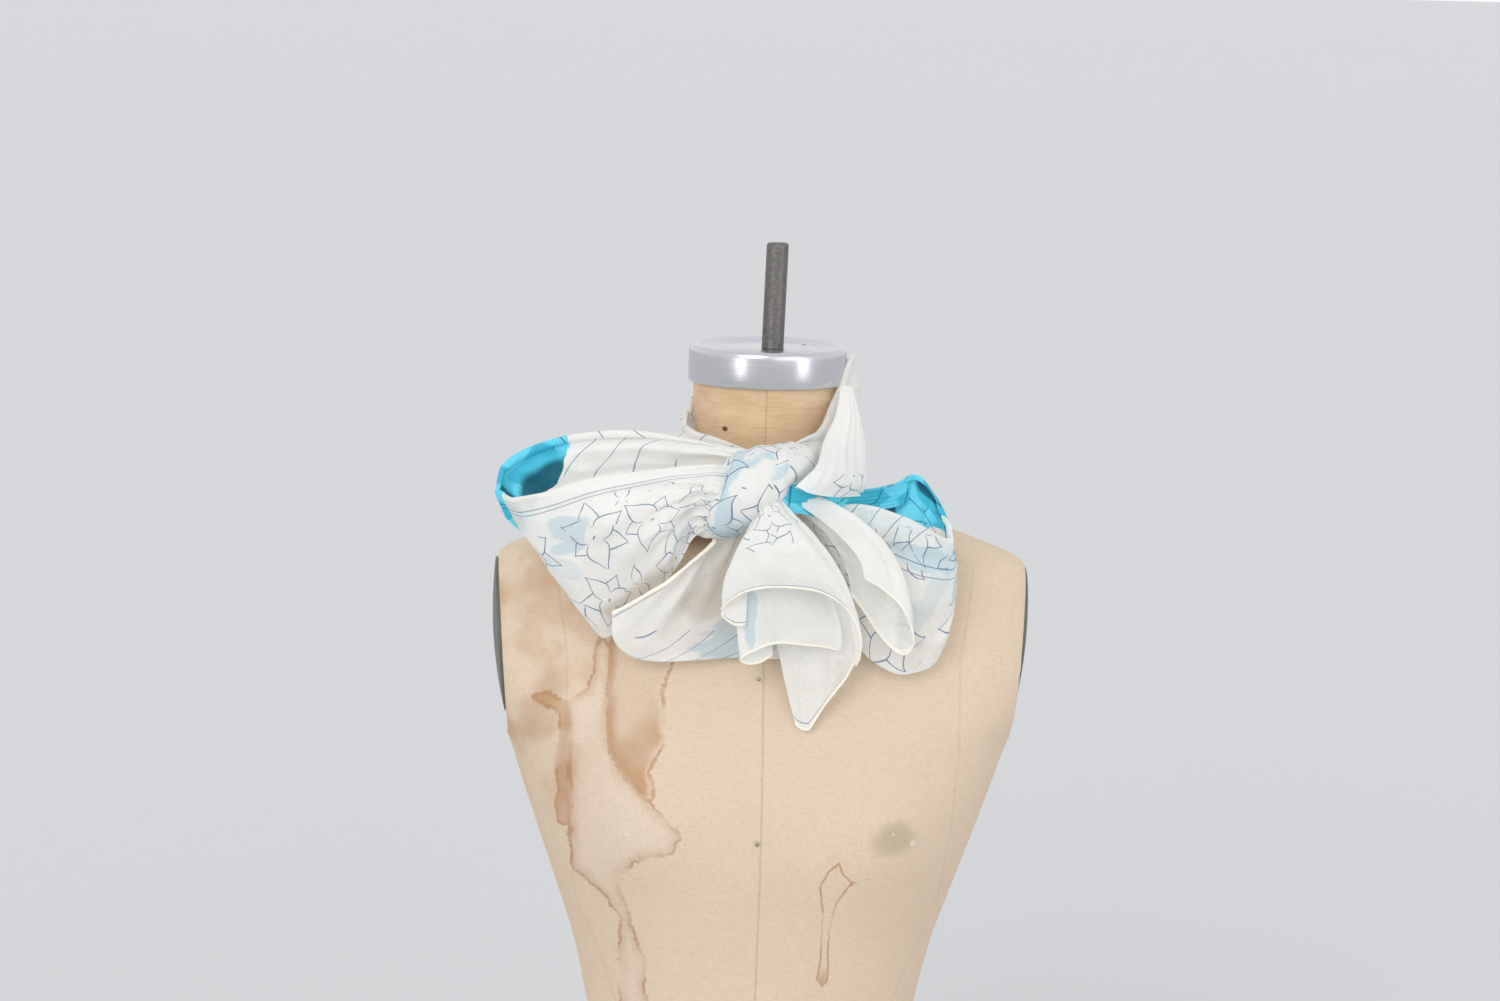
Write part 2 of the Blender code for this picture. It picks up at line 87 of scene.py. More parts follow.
# The torso's sections: height, half width, depth in front and behind, and how square the oval is
TORSO = [
    (0, 168, 116, 118, 2.2),
    (40, 171, 119, 122, 2.2),
    (95, 162, 112, 117, 2.2),
    (160, 137, 98, 100, 2.2),
    (228, 116, 88, 82, 2.2),
    (274, 123.5, 92, 84, 2.2),
    (320, 134, 99, 88, 2.2),
    (360, 147, 106, 92, 2.25),
    (400, 160.5, 112, 96, 2.3),
    (440, 174, 110, 99, 2.35),
    (470, 184, 104, 101, 2.45),
    (500, 198, 96, 102, 2.6),
    (530, 207, 86, 101, 2.7),
    (560, 207, 76, 97, 2.7),
    (585, 203, 68, 90, 2.6),
    (603, 193, 61, 80, 2.5),
    (614, 171, 56, 72, 2.4),
    (626, 139, 53, 64, 2.3),
    (638, 107, 51, 58, 2.2),
    (647, 83, 49, 54, 2.1),
    (653, 70, 48, 52, 2.0),
]

# The neck's sections: height, half width and half depth
NECK = [
    (653.3, 68.0, 49.5),
    (657.0, 62.5, 49.2),
    (663.0, 57.0, 49.0),
    (672.0, 53.5, 49.0),
    (690.0, 51.5, 49.8),
    (712.0, 52.5, 51.8),
    (733.0, 53.5, 53.5),
]

# How far out the princess seams run, as heights and as shares of the half width there
PRINCESS_FRONT = ((0, 228, 358, 458, 540, 640), (0.70, 0.74, 0.90, 0.78, 0.75, 0.80))
PRINCESS_BACK = ((0, 228, 400, 640), (0.56, 0.52, 0.60, 0.64))

# Water stains on the linen: outlines as x and z, seen from the front. The back has none
UNSTAINED = -60.0
STAINS = {
    "washed": [
        (-139, 511), (-137, 467), (-137, 422), (-135, 387), (-113, 369), (-100, 354), (-99, 317),
        (-97, 285), (-95, 240), (-74, 240), (-79, 289), (-82, 321), (-90, 344), (-96, 364),
        (-101, 378), (-100, 389), (-87, 404), (-64, 409), (-58, 421), (-73, 436), (-84, 448),
        (-96, 457), (-103, 467), (-110, 481), (-112, 513), (-110, 546), (-118, 560), (-125, 519),
    ],
    "patch": [
        (-110, 560), (-112, 513), (-110, 481), (-103, 467), (-96, 455), (-88, 445), (-79, 446),
        (-80, 469), (-69, 489), (-71, 501), (-74, 522), (-67, 537), (-75, 562),
    ],
    "band": [
        (-165, 511), (-157, 515), (-147, 511), (-138, 509), (-138, 489), (-138, 460), (-136, 420),
        (-146, 417), (-147, 465), (-145, 501), (-154, 505), (-164, 508),
    ],
    "drip": [
        (55, 403), (47, 396), (42, 385), (45, 362), (45, 326), (43, 311), (47, 305), (51, 310),
        (50, 350), (55, 372), (63, 385), (79, 391), (65, 387), (57, 396),
    ],
}

# Pale specks on the linen: x, z and half width, in metres
SPECKS = ((0.093, 0.424, 0.0014), (0.108, 0.415, 0.0030), (-0.096, 0.420, 0.0024))

# The knot, as in the solids: how far along X, its centre, and how deep and high it is
KnotSection = namedtuple("KnotSection", "x centre_y centre_z half_depth half_height")
KNOT = [
    KnotSection(-58, -112, 651, 5, 7),
    KnotSection(-54, -113, 653, 12, 14),
    KnotSection(-44, -113, 658, 20, 21),
    KnotSection(-30, -110, 665, 26, 27),
    KnotSection(-12, -106, 671, 30, 27),
    KnotSection(6, -102, 677, 29, 22),
    KnotSection(18, -97, 683, 24, 15),
    KnotSection(27, -92, 686, 16, 11),
    KnotSection(32, -89, 687, 6, 5),
]

# Sections of the cloth, each through a few places. OnKnot is a place on the knot's surface: how
# far along X, and the turn in degrees from straight down towards the front
Three = namedtuple("Three", "head middle foot")
OnKnot = namedtuple("OnKnot", "x turn")

NECK_WRAP = [
    Three(OnKnot(8, 200), OnKnot(13, 250), OnKnot(16, 290)),
    Three((26, -75, 702), (37, -70, 688), (42, -66, 668)),
    Three((38, -56, 706), (53, -54, 684), (60, -53, 655)),
    Three((49, -34, 724), (67, -31, 696), (70, -32, 657)),
    Three((60, -10, 750), (68, -2, 712), (69, 0, 664)),
    Three((63, 20, 748), (67, 26, 714), (60, 28, 676)),
    Three((50, 50, 735), (50, 50, 709), (41, 40, 679)),
    Three((22, 60, 731), (22, 57, 706), (20, 52, 681)),
    Three((-5, 62, 730), (-5, 58, 705), (-4, 53, 681)),
    Three((-32, 54, 727), (-33, 52, 703), (-28, 47, 679)),
    Three((-54, 30, 717), (-57, 30, 699), (-56, 27, 675)),
    Three((-58, 3, 710), (-64, 3, 693), (-69, 2, 670)),
    Three((-60, -24, 704), (-69, -27, 687), (-74, -28, 664)),
    Three((-52, -49, 700), (-59, -53, 684), (-61, -53, 664)),
    Three((-37, -66, 698), (-42, -70, 685), (-46, -70, 669)),
    Three(OnKnot(-14, 212), OnKnot(-24, 235), OnKnot(-34, 260)),
]
LEFT_LOOP = [
    Three(OnKnot(-28, 142), OnKnot(-43, 96), OnKnot(-46, 56)),
    Three((-44, -132, 689), (-54, -138, 663), (-55, -126, 637)),
    Three((-64, -130, 687), (-67, -134, 656), (-61, -117, 624)),
    Three((-86, -129, 683), (-79, -131, 650), (-67, -108, 612)),
    Three((-126, -130, 676), (-106, -126, 634), (-82, -96, 586)),
    Three((-162, -124, 664), (-132, -113, 616), (-101, -90, 567)),
    Three((-185, -108, 657), (-152, -102, 609), (-117, -86, 558)),
    Three((-193, -88, 664), (-161, -89, 615), (-125, -81, 564)),
    Three((-183, -68, 680), (-156, -74, 632), (-120, -76, 579)),
    Three((-145, -56, 694), (-126, -67, 650), (-102, -75, 594)),
    Three((-97, -62, 700), (-91, -71, 662), (-80, -80, 614)),
    Three((-56, -82, 699), (-60, -86, 669), (-60, -91, 640)),
    Three(OnKnot(-17, 172), OnKnot(-38, 235), OnKnot(-52, 300)),
]
RIGHT_LOOP = [
    Three(OnKnot(21, 24), OnKnot(17, 14), OnKnot(12, 5)),
    Three((40, -101, 659), (36, -100, 640), (31, -95, 620)),
    Three((62, -102, 657), (58, -102, 610), (54, -95, 573)),
    Three((80, -104, 654), (75, -104, 600), (70, -96, 551)),
    Three((97, -102, 648), (90, -105, 594), (84, -97, 542)),
    Three((114, -97, 640), (107, -103, 589), (100, -96, 537)),
    Three((130, -84, 633), (131, -92, 589), (122, -89, 545)),
    Three((130, -73, 641), (135, -81, 604), (130, -83, 564)),
    Three((123, -62, 657), (130, -70, 621), (126, -79, 580)),
    Three((106, -57, 672), (111, -65, 632), (110, -77, 590)),
    Three((88, -60, 666), (89, -68, 634), (88, -78, 598)),
    Three((60, -70, 663), (58, -76, 640), (57, -82, 610)),
    Three((37, -77, 669), (35, -81, 656), (32, -84, 640)),
    Three(OnKnot(26, 300), OnKnot(21, 320), OnKnot(15, 335)),
]

# The tails and the drape: each section runs from root to hem
FRONT_TAIL = [
    Three(OnKnot(-13, 48), (-16, -129, 617), (-17, -125, 577)),
    Three(OnKnot(-14, 52), (-23, -130, 615), (-26, -126, 578)),
    Three(OnKnot(-14, 57), (-30, -134, 619), (-35, -130, 587)),
    Three(OnKnot(-12, 62), (-24, -142, 629), (-27, -138, 598)),
    Three(OnKnot(-9, 66), (-11, -148, 634), (-12, -144, 606)),
    Three(OnKnot(-5, 68), (5, -151, 638), (8, -147, 608)),
    Three(OnKnot(-1, 68), (22, -150, 638), (32, -145, 605)),
    Three(OnKnot(3, 66), (35, -145, 632), (51, -139, 593)),
    Three(OnKnot(5, 64), (44, -138, 621), (62, -132, 575)),
    Three(OnKnot(6, 59), (48, -131, 609), (64, -127, 559)),
    Three(OnKnot(5, 54), (48, -127, 603), (61, -123, 548)),
]
MIDDLE_TAIL = [
    Three(OnKnot(-6, 28), (0, -114, 600), (3, -111, 554)),
    Three(OnKnot(-9, 30), (-7, -115, 600), (-6, -112, 548)),
    Three(OnKnot(-12, 32), (-17, -117, 600), (-14, -114, 547)),
    Three(OnKnot(-12, 37), (-24, -122, 600), (-20, -118, 551)),
    Three(OnKnot(-8, 40), (-15, -126, 600), (-12, -122, 557)),
    Three(OnKnot(-3, 41), (0, -128, 600), (4, -124, 564)),
    Three(OnKnot(1, 41), (18, -127, 600), (22, -123, 563)),
    Three(OnKnot(5, 40), (33, -123, 600), (38, -119, 561)),
    Three(OnKnot(8, 37), (43, -119, 597), (51, -114, 557)),
]
POINT_TAIL = [
    Three(OnKnot(-7, 14), (2, -105, 580), (21, -98, 502)),
    Three(OnKnot(-4, 16), (9, -107, 578), (25, -100, 498)),
    Three(OnKnot(0, 18), (19, -110, 577), (31, -104, 498)),
    Three(OnKnot(4, 19), (31, -108, 578), (37, -103, 508)),
    Three(OnKnot(6, 19), (41, -111, 584), (45, -107, 522)),
    Three(OnKnot(8, 17), (51, -109, 590), (56, -105, 536)),
    Three(OnKnot(9, 15), (57, -108, 596), (63, -105, 549)),
]
SIDE_TAIL = [
    Three(OnKnot(9, 34), (43, -110, 634), (57, -112, 599)),
    Three(OnKnot(11, 34), (50, -108, 628), (66, -111, 587)),
    Three(OnKnot(13, 35), (58, -109, 624), (76, -111, 572)),
    Three(OnKnot(15, 38), (66, -110, 622), (87, -112, 560)),
    Three(OnKnot(16, 42), (74, -112, 624), (96, -115, 556)),
    Three(OnKnot(17, 47), (79, -114, 630), (101, -118, 565)),
    Three(OnKnot(17, 52), (78, -118, 637), (98, -122, 580)),
    Three(OnKnot(15, 56), (69, -122, 641), (89, -126, 595)),
    Three(OnKnot(12, 59), (60, -125, 640), (76, -129, 606)),
    Three(OnKnot(9, 60), (51, -127, 637), (64, -130, 613)),
]
DRAPE = [
    Three(OnKnot(-40, 5), (-68, -115, 608), (-110, -105, 579)),
    Three(OnKnot(-36, 0), (-67, -111, 597), (-108, -103, 562)),
    Three(OnKnot(-31, -4), (-61, -107, 590), (-96, -101, 549)),
    Three(OnKnot(-25, -8), (-48, -101, 585), (-76, -98, 544)),
    Three(OnKnot(-19, -10), (-31, -95, 585), (-46, -94, 546)),
    Three(OnKnot(-13, -12), (-12, -91, 586), (-16, -91, 548)),
    Three(OnKnot(-7, -14), (9, -89, 586), (18, -90, 548)),
    Three(OnKnot(-1, -16), (26, -88, 586), (46, -89, 546)),
    Three(OnKnot(4, -18), (40, -87, 586), (68, -88, 546)),
]

# Gathers fade away from the knot. A crease runs between two places on the cloth, each as a share
# along and across it; a positive depth stands out on the outer side. A curl is a soft fold where
# the cloth turns over inwards at an edge. The ovals, as shares too, are where the cloth is dyed,
# where painted shade darkens the dye in hollows and fold streaks, where it is washed with pale
# blue, at its sheerest, or printed with flowers or with contour lines.
# A hem is a rolled edge, and rules are one or two printed lines that run beside an edge
Gather = namedtuple("Gather", "count depth reach start")
Crease = namedtuple("Crease", "start end depth width")
Curl = namedtuple("Curl", "edge radius turn")
Oval = namedtuple("Oval", "along across half_along half_across")
Rule = namedtuple("Rule", "edge inset")
Sheet = namedtuple(
    "Sheet",
    "node sections along across roots facing crumple gathers creases"
    " curls dye deep wash sheer flowers contours hems rules",
    defaults=([], [], [], [], [], [], [], [], [], [], []),
)

HEM_RADIUS = {"foot": 0.95, "start": 1.5}
HEM_STEP = 0.8
HEM_SIDES = 8
CURL_STEPS = 10

# What the silk's shader reads as fields, one of them painted shade in the dye's hollows, a field's
# value where it doesn't reach, and a distance far from any line
PRINTS = ("dye", "deep", "wash", "sheer", "flowers", "contours")
OFF = -1.0
FAR = 99.0

# Where the rules on a loop stop, as a share along it, and how much thinner they are beyond
RULES_STOP = 0.57
RULES_THIN = 400.0

SHEETS = [
    Sheet(
        "neck_wrap", NECK_WRAP, 300, 70, "ends", -1, 0.8,
        [Gather(5, 1.6, 22, 0.1), Gather(2.6, 1.9, 400, 0.3)],
        [
            Crease((0.02, 0.75), (0.24, 0.30), 2.6, 4),
            Crease((0.04, 0.45), (0.26, 0.70), -2.2, 4),
            Crease((0.22, 0.2), (0.45, 0.5), 1.6, 4),
            Crease((0.62, 0.7), (0.95, 0.4), 1.4, 4),
        ],
        curls=[Curl("head", 2.6, 200), Curl("foot", 3.4, 230)],
        flowers=[Oval(0.12, 1.0, 0.10, 0.35), Oval(0.8, 0.8, 0.14, 0.5)],
        contours=[Oval(0.8, 0.2, 0.2, 0.6)],
    ),
    Sheet(
        "left_loop", LEFT_LOOP, 340, 120, "ends", 1, 1.0,
        [Gather(8, 2.4, 24, 0.2), Gather(3.4, 2.4, 70, 0.2)],
        [
            Crease((0.00, 0.26), (0.22, 0.17), -3.6, 3.2),
            Crease((0.02, 0.10), (0.42, 0.06), 1.8, 5),
            Crease((0.02, 0.36), (0.26, 0.42), -4.6, 4.5),
            Crease((0.03, 0.44), (0.30, 0.58), 3.4, 5),
            Crease((0.03, 0.52), (0.28, 0.74), -4.0, 5),
            Crease((0.04, 0.66), (0.26, 0.86), 3.0, 4.5),
            Crease((0.04, 0.80), (0.20, 0.96), -2.6, 4),
            Crease((0.26, 0.20), (0.44, 0.55), 2.2, 7),
            Crease((0.565, 0.0), (0.60, 0.36), 5.5, 4),
            Crease((0.60, 0.10), (0.66, 0.40), -5.0, 5),
            Crease((0.64, 0.0), (0.70, 0.30), 4.5, 4),
            Crease((0.70, 0.02), (0.76, 0.30), -3.0, 4),
            Crease((0.66, 0.12), (0.98, 0.12), -6.0, 9),
            Crease((0.66, 0.30), (0.98, 0.36), 5.0, 5),
            Crease((0.76, 0.55), (0.97, 0.60), -2.6, 6),
        ],
        curls=[Curl("head", 3.2, 215), Curl("foot", 2.2, 190)],
        dye=[Oval(0.640, 0.02, 0.112, 0.32), Oval(0.565, 0.0, 0.04, 0.10)],
        # Painted shade in the dyed hollow and along a fold streak
        deep=[Oval(0.70, 0.24, 0.07, 0.15), Oval(0.605, 0.16, 0.018, 0.18)],
        sheer=[Oval(0.10, 0.52, 0.10, 0.12), Oval(0.34, 0.92, 0.14, 0.14)],
        wash=[Oval(0.41, 0.24, 0.045, 0.11), Oval(0.44, 0.38, 0.04, 0.06)],
        flowers=[Oval(0.27, 0.60, 0.30, 0.50)],
        contours=[Oval(0.84, 0.1, 0.12, 0.7)],
        rules=[Rule("head", 9.0), Rule("head", 12.5)],
    ),
    Sheet(
        "right_loop", RIGHT_LOOP, 340, 120, "ends", -1, 1.0,
        [Gather(7, 1.8, 22, 0.4), Gather(3.0, 2.2, 70, 0.6)],
        [
            Crease((0.06, 0.22), (0.50, 0.17), -3.6, 5),
            Crease((0.04, 0.10), (0.46, 0.06), 2.0, 6),
            Crease((0.08, 0.45), (0.40, 0.50), 2.6, 7),
            Crease((0.30, 0.60), (0.48, 0.85), 2.0, 6),
            Crease((0.54, 0.0), (0.62, 0.45), 2.8, 5),
            Crease((0.64, 0.0), (0.70, 0.50), -4.4, 5),
            Crease((0.72, 0.0), (0.80, 0.45), 4.0, 5),
            Crease((0.80, 0.10), (0.97, 0.30), -2.6, 5),
        ],
        curls=[Curl("head", 2.6, 200), Curl("foot", 2.0, 180)],
        dye=[Oval(0.79, 0.02, 0.25, 0.50)],
        # Painted shade along dark fold streaks in the dye
        deep=[Oval(0.775, 0.20, 0.020, 0.34), Oval(0.655, 0.05, 0.05, 0.10)],
        wash=[Oval(0.36, 0.20, 0.17, 0.07), Oval(0.50, 0.42, 0.05, 0.14)],
        flowers=[Oval(0.40, 0.58, 0.36, 0.58)],
        contours=[Oval(0.24, 0.05, 0.2, 0.16), Oval(0.70, 0.1, 0.12, 0.5)],
        rules=[Rule("head", 22.0), Rule("head", 29.0)],
    ),
    Sheet(
        "front_tail", FRONT_TAIL, 180, 130, "root", -1, 0.5,
        [Gather(5, 1.5, 18, 0.1), Gather(1.6, 1.4, 60, 0.4)],
        [
            Crease((0.36, 0.06), (0.20, 0.80), 2.4, 6),
            Crease((0.46, 0.06), (0.42, 0.60), -2.2, 6),
            Crease((0.56, 0.06), (0.62, 0.85), 2.2, 7),
            Crease((0.68, 0.10), (0.74, 0.75), -2.4, 7),
            Crease((0.78, 0.2), (0.84, 0.95), 2.0, 5),
        ],
        flowers=[Oval(0.40, 0.10, 0.40, 0.42)],
        hems=["foot"],
        rules=[Rule("foot", 2.2)],
    ),
    Sheet(
        "middle_tail", MIDDLE_TAIL, 120, 110, "root", -1, 0.5,
        [Gather(4, 1.2, 24, 0.0), Gather(1.8, 1.0, 80, 0.0)],
        [Crease((0.42, 0.3), (0.46, 1.0), -1.6, 4), Crease((0.60, 0.3), (0.62, 1.0), 1.8, 3)],
        wash=[Oval(0.50, 0.80, 0.05, 0.3)],
        hems=["foot"],
    ),
    Sheet(
        "point_tail", POINT_TAIL, 110, 130, "root", -1, 0.4,
        [Gather(3, 1.0, 24, 0.2), Gather(1.4, 1.2, 90, 0.2)],
        [Crease((0.62, 0.4), (0.66, 1.0), 1.8, 5), Crease((0.36, 0.3), (0.30, 1.0), -1.6, 5)],
        hems=["foot"],
        rules=[Rule("foot", 4.5)],
    ),
    Sheet(
        "side_tail", SIDE_TAIL, 150, 120, "root", -1, 0.3,
        [Gather(3, 0.7, 20, 0.5)],
        [Crease((0.52, 0.30), (0.50, 1.0), -3.0, 5), Crease((0.78, 0.30), (0.80, 1.0), 1.6, 4)],
        sheer=[Oval(0.52, 0.80, 0.16, 0.30)],
        hems=["foot"],
    ),
    Sheet(
        "drape", DRAPE, 180, 120, "root", -1, 0.7,
        [Gather(6, 1.6, 26, 0.1), Gather(2.6, 1.8, 90, 0.1)],
        [
            Crease((0.16, 0.25), (0.26, 0.85), 2.6, 8),
            Crease((0.30, 0.35), (0.34, 0.80), -2.6, 8),
            Crease((0.48, 0.2), (0.52, 0.9), 1.6, 8),
        ],
        curls=[Curl("foot", 2.2, 190)],
        wash=[Oval(0.60, 0.80, 0.13, 0.22)],
        sheer=[Oval(0.46, 0.34, 0.26, 0.30)],
        contours=[Oval(0.42, 0.90, 0.24, 0.22)],
        hems=["start"],
        rules=[Rule("start", 3.2)],
    ),
]


def through(rows, count):
    """Rows of numbers on a smooth Catmull-Rom curve through every row, read at even steps."""
    rows = np.asarray(rows, float)
    padded = np.concatenate([2 * rows[:1] - rows[1:2], rows, 2 * rows[-1:] - rows[-2:-1]])
    place = np.linspace(0, len(rows) - 1, count)
    start = np.minimum(place.astype(int), len(rows) - 2)
    t = (place - start).reshape((-1,) + (1,) * (rows.ndim - 1))
    before, here, after, beyond = (padded[start + shift] for shift in range(4))
    return 0.5 * (
        2 * here
        + (after - before) * t
        + (2 * before - 5 * here + 4 * after - beyond) * t**2
        + (3 * here - before - 3 * after + beyond) * t**3
    )


def unit(vectors):
    """Vectors brought to length one."""
    return vectors / np.maximum(np.linalg.norm(vectors, axis=-1, keepdims=True), 1e-9)


def surface_normal(points):
    """The surface's normal at each point of a grid."""
    return unit(np.cross(np.gradient(points, axis=0), np.gradient(points, axis=1)))


def grid_shares(along, across):
    """The shares along and across a grid of so many points."""
    return np.meshgrid(np.linspace(0, 1, along), np.linspace(0, 1, across), indexing="ij")


def line_distance(spot, start, end):
    """How far each place is from the line between two places, and the share along the line."""
    run = end - start
    t = np.clip(((spot - start) @ run) / (run @ run), 0, 1)
    return np.linalg.norm(spot - start - t[..., None] * run, axis=-1), t


def add_object(name, data):
    """An object of its own in the scene."""
    made = bpy.data.objects.new(name, data)
    bpy.context.scene.collection.objects.link(made)
    return made


def add_surface(
    name, points, closed_round=False, capped=False, fields=None, round_off=0, flip=False, start=0.0
):
    """A mesh from a grid of points in millimetres, rows by columns. closed_round joins the last
    column to the first and capped closes both ends to a pole. It gets a UV map in metres: summed
    steps along the rows and along the columns, from start. fields are numbers for each point, and
    flip turns the faces over. Gives the piece and its flat length and width."""
    rows, columns = points.shape[:2]
    spans = columns if closed_round else columns - 1
    i, j = np.meshgrid(np.arange(rows - 1), np.arange(spans), indexing="ij")
    corner_rows = np.stack([i, i + 1, i + 1, i], axis=-1).reshape(-1, 4)
    corner_columns = np.stack([j, j, j + 1, j + 1], axis=-1).reshape(-1, 4)
    if flip:
        corner_rows, corner_columns = corner_rows[:, ::-1], corner_columns[:, ::-1]
    quads = corner_rows * columns + corner_columns % columns
    faces = quads.tolist()
    vertices = points.reshape(-1, 3)
    if capped:
        first = len(vertices)
        vertices = np.concatenate([vertices, points[:1].mean(axis=1), points[-1:].mean(axis=1)])
        ring = np.arange(columns)
        after = (ring + 1) % columns
        base = (rows - 1) * columns
        faces += np.stack([after, np.full(columns, first), ring], axis=-1).tolist()
        last = np.full(columns, first + 1)
        faces += np.stack([base + ring, last, base + after], axis=-1).tolist()
    mesh = bpy.data.meshes.new(name)
    mesh.from_pydata((vertices * MM).tolist(), [], faces)
    step_rows = np.linalg.norm(np.diff(points, axis=0), axis=2)
    step_columns = np.linalg.norm(np.diff(points, axis=1, append=points[:, :1]), axis=2)
    u = np.concatenate([[0], np.cumsum(np.percentile(step_rows, 75, axis=1))]) * MM
    v = np.concatenate([[0], np.cumsum(np.percentile(step_columns, 75, axis=0))]) * MM
    uv = np.zeros((len(mesh.loops), 2))
    uv[: quads.size, 0] = u[corner_rows.ravel()] + start
    uv[: quads.size, 1] = v[corner_columns.ravel()] + start
    mesh.uv_layers.new(name="metres").data.foreach_set("uv", uv.ravel())
    for field, values in (fields or {}).items():
        padded = np.zeros(len(vertices))
        padded[: values.size] = values.ravel()
        mesh.attributes.new(field, "FLOAT", "POINT").data.foreach_set("value", padded)
    mesh.shade_smooth()
    if round_off:
        mesh.set_sharp_from_angle(angle=radians(round_off))
    return add_object(name, mesh), (u[-1], v[columns - 1])


def finish_piece(piece, material, slot, *nodes):
    """The piece's material; slot is not used. It rides on the form and stands for the nodes named.
    """
    piece.data.materials.append(material)
    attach(piece, "root")
    if nodes:
        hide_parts(*nodes)
    return piece


def around(count):
    """Even turns of a full circle, in radians."""
    return np.linspace(0, 2 * pi, count, endpoint=False)


def turned(name, profile, sides, centre=(0, 0), lean=0.0):
    """A solid of revolution: a profile of radius and height, from foot to top, turned about an
    upright line and then leaned sideways, its ends closed to a pole."""
    radius, height = np.array(profile, float).T[..., None]
    x = radius * np.cos(around(sides)) + centre[0]
    x = x + np.tan(radians(lean)) * (height - height.mean())
    y = radius * np.sin(around(sides)) + centre[1]
    points = np.stack([x, y, np.broadcast_to(height, x.shape)], axis=-1)
    return add_surface(name, points[:, ::-1], closed_round=True, capped=True, round_off=35)[0]


# Shader graphs


class Number:
    """A number on a socket. Its operators add Math nodes to the graph that it came from."""

    def __init__(self, graph, socket):
        self.graph = graph
        self.socket = socket

    def __add__(self, other):
        return self.graph.maths("ADD", self, other)

    def __sub__(self, other):
        return self.graph.maths("SUBTRACT", self, other)

    def __rsub__(self, other):
        return self.graph.maths("SUBTRACT", other, self)

    def __mul__(self, other):
        return self.graph.maths("MULTIPLY", self, other)

    def __truediv__(self, other):
        return self.graph.maths("DIVIDE", self, other)

    def __pow__(self, other):
        return self.graph.maths("POWER", self, other)

    def __abs__(self):
        return self.graph.maths("ABSOLUTE", self)

    __radd__ = __add__
    __rmul__ = __mul__


class Graph:
    """The nodes of one material or of the world, written as expressions."""

    def __init__(self, block):
        block.use_nodes = True
        self.block = block
        self.tree = block.node_tree
        self.tree.nodes.clear()

    def node(self, kind, settings, sockets):
        """A node of a type, its settings first, then the values or links of its sockets. Three
        numbers are a colour as it looks on screen."""
        node = self.tree.nodes.new("ShaderNode" + kind)
        for name, value in settings.items():
            setattr(node, name, value)
        for name, value in sockets.items():
            if isinstance(value, (Number, bpy.types.NodeSocket)):
                self.tree.links.new(getattr(value, "socket", value), node.inputs[name])
            elif isinstance(value, tuple) and len(value) == 3:
                node.inputs[name].default_value = colour(value)
            else:
                node.inputs[name].default_value = value
        return node

    def maths(self, operation, *values):
        """One Math node's result."""
        node = self.node("Math", {"operation": operation}, dict(enumerate(values)))
        return Number(self, node.outputs[0])

    def highest(self, *values):
        """The highest of some numbers."""
        top = values[0]
        for value in values[1:]:
            top = self.maths("MAXIMUM", top, value)
        return top

    def ease(self, value, low, high):
        """Nought below low and one above high, with a soft step between. low may be the higher."""
        sockets = {"Value": value, "From Min": low, "From Max": high}
        node = self.node("MapRange", {"interpolation_type": "SMOOTHSTEP"}, sockets)
        return Number(self, node.outputs[0])

    def near(self, distance, half_width):
        """One on a line and nought beyond its half width, from the distance to it."""
        return self.ease(abs(distance), half_width * 1.35, half_width * 0.55)

    def vector(self, x, y, z=0.0):
        """A vector of three numbers."""
        return self.node("CombineXYZ", {}, {"X": x, "Y": y, "Z": z}).outputs[0]

    def parts(self, vector):
        """A vector's three numbers."""
        node = self.node("SeparateXYZ", {}, {"Vector": vector})
        return [Number(self, socket) for socket in node.outputs]

    def place(self):
        """The place on the object, in metres."""
        return self.parts(self.node("TexCoord", {}, {}).outputs["Object"])

    def cloth_place(self):
        """The place on the cloth as it lay flat, in metres, from the UV map."""
        return self.parts(self.node("UVMap", {"uv_map": "metres"}, {}).outputs[0])[:2]

    def field(self, name):
        """A number stored on the mesh."""
        return Number(self, self.node("Attribute", {"attribute_name": name}, {}).outputs["Fac"])

    def noise(self, place, scale, detail=2.0, roughness=0.5):
        """Smooth noise about a half, at a place of two or three numbers."""
        vector = self.vector(*place)
        sockets = {"Vector": vector, "Scale": scale, "Detail": detail, "Roughness": roughness}
        return Number(self, self.node("TexNoise", {}, sockets).outputs[0])

    def mix(self, share, first, second):
        """Two colours mixed: first at nought, second at one."""
        sockets = {0: share, 6: first, 7: second}
        return self.node("Mix", {"data_type": "RGBA"}, sockets).outputs[2]

    def layers(self, cover, *layers):
        """A colour with others laid over it in turn, each with the share it covers."""
        for share, tone in layers:
            cover = self.mix(share, cover, tone)
        return cover

    def bump(self, height, distance, strength=1.0):
        """A normal bent by a height."""
        sockets = {"Height": height, "Distance": distance, "Strength": strength}
        return self.node("Bump", {}, sockets).outputs[0]

    def principled(self, **sockets):
        """The Principled shader."""
        named = {name.replace("_", " "): value for name, value in sockets.items()}
        return self.node("BsdfPrincipled", {}, named).outputs[0]

    def blend(self, share, first, second):
        """Two shaders mixed."""
        return self.node("MixShader", {}, {0: share, 1: first, 2: second}).outputs[0]

    def out(self, shader, kind="Material"):
        """The shader goes to the surface. Gives the finished material or world."""
        self.node("Output" + kind, {}, {"Surface": shader})
        return self.block


def colour(screen):
    """A colour given as it looks on screen, from 0 to 255, as linear light."""
    share = np.array(screen) / 255
    linear = np.where(share <= 0.04045, share / 12.92, ((share + 0.055) / 1.055) ** 2.4)
    return (*linear.tolist(), 1.0)


def material_graph(name):
    """The graph of a new material, and the place on the object in metres."""
    graph = Graph(bpy.data.materials.new(name))
    return graph, *graph.place()


# The scarf's silk

FLOWER_CELL = 0.058
SPRIG_CELL = 0.036
LINE_WIDTH = 0.0005
CONTOUR_SPACING = 0.021


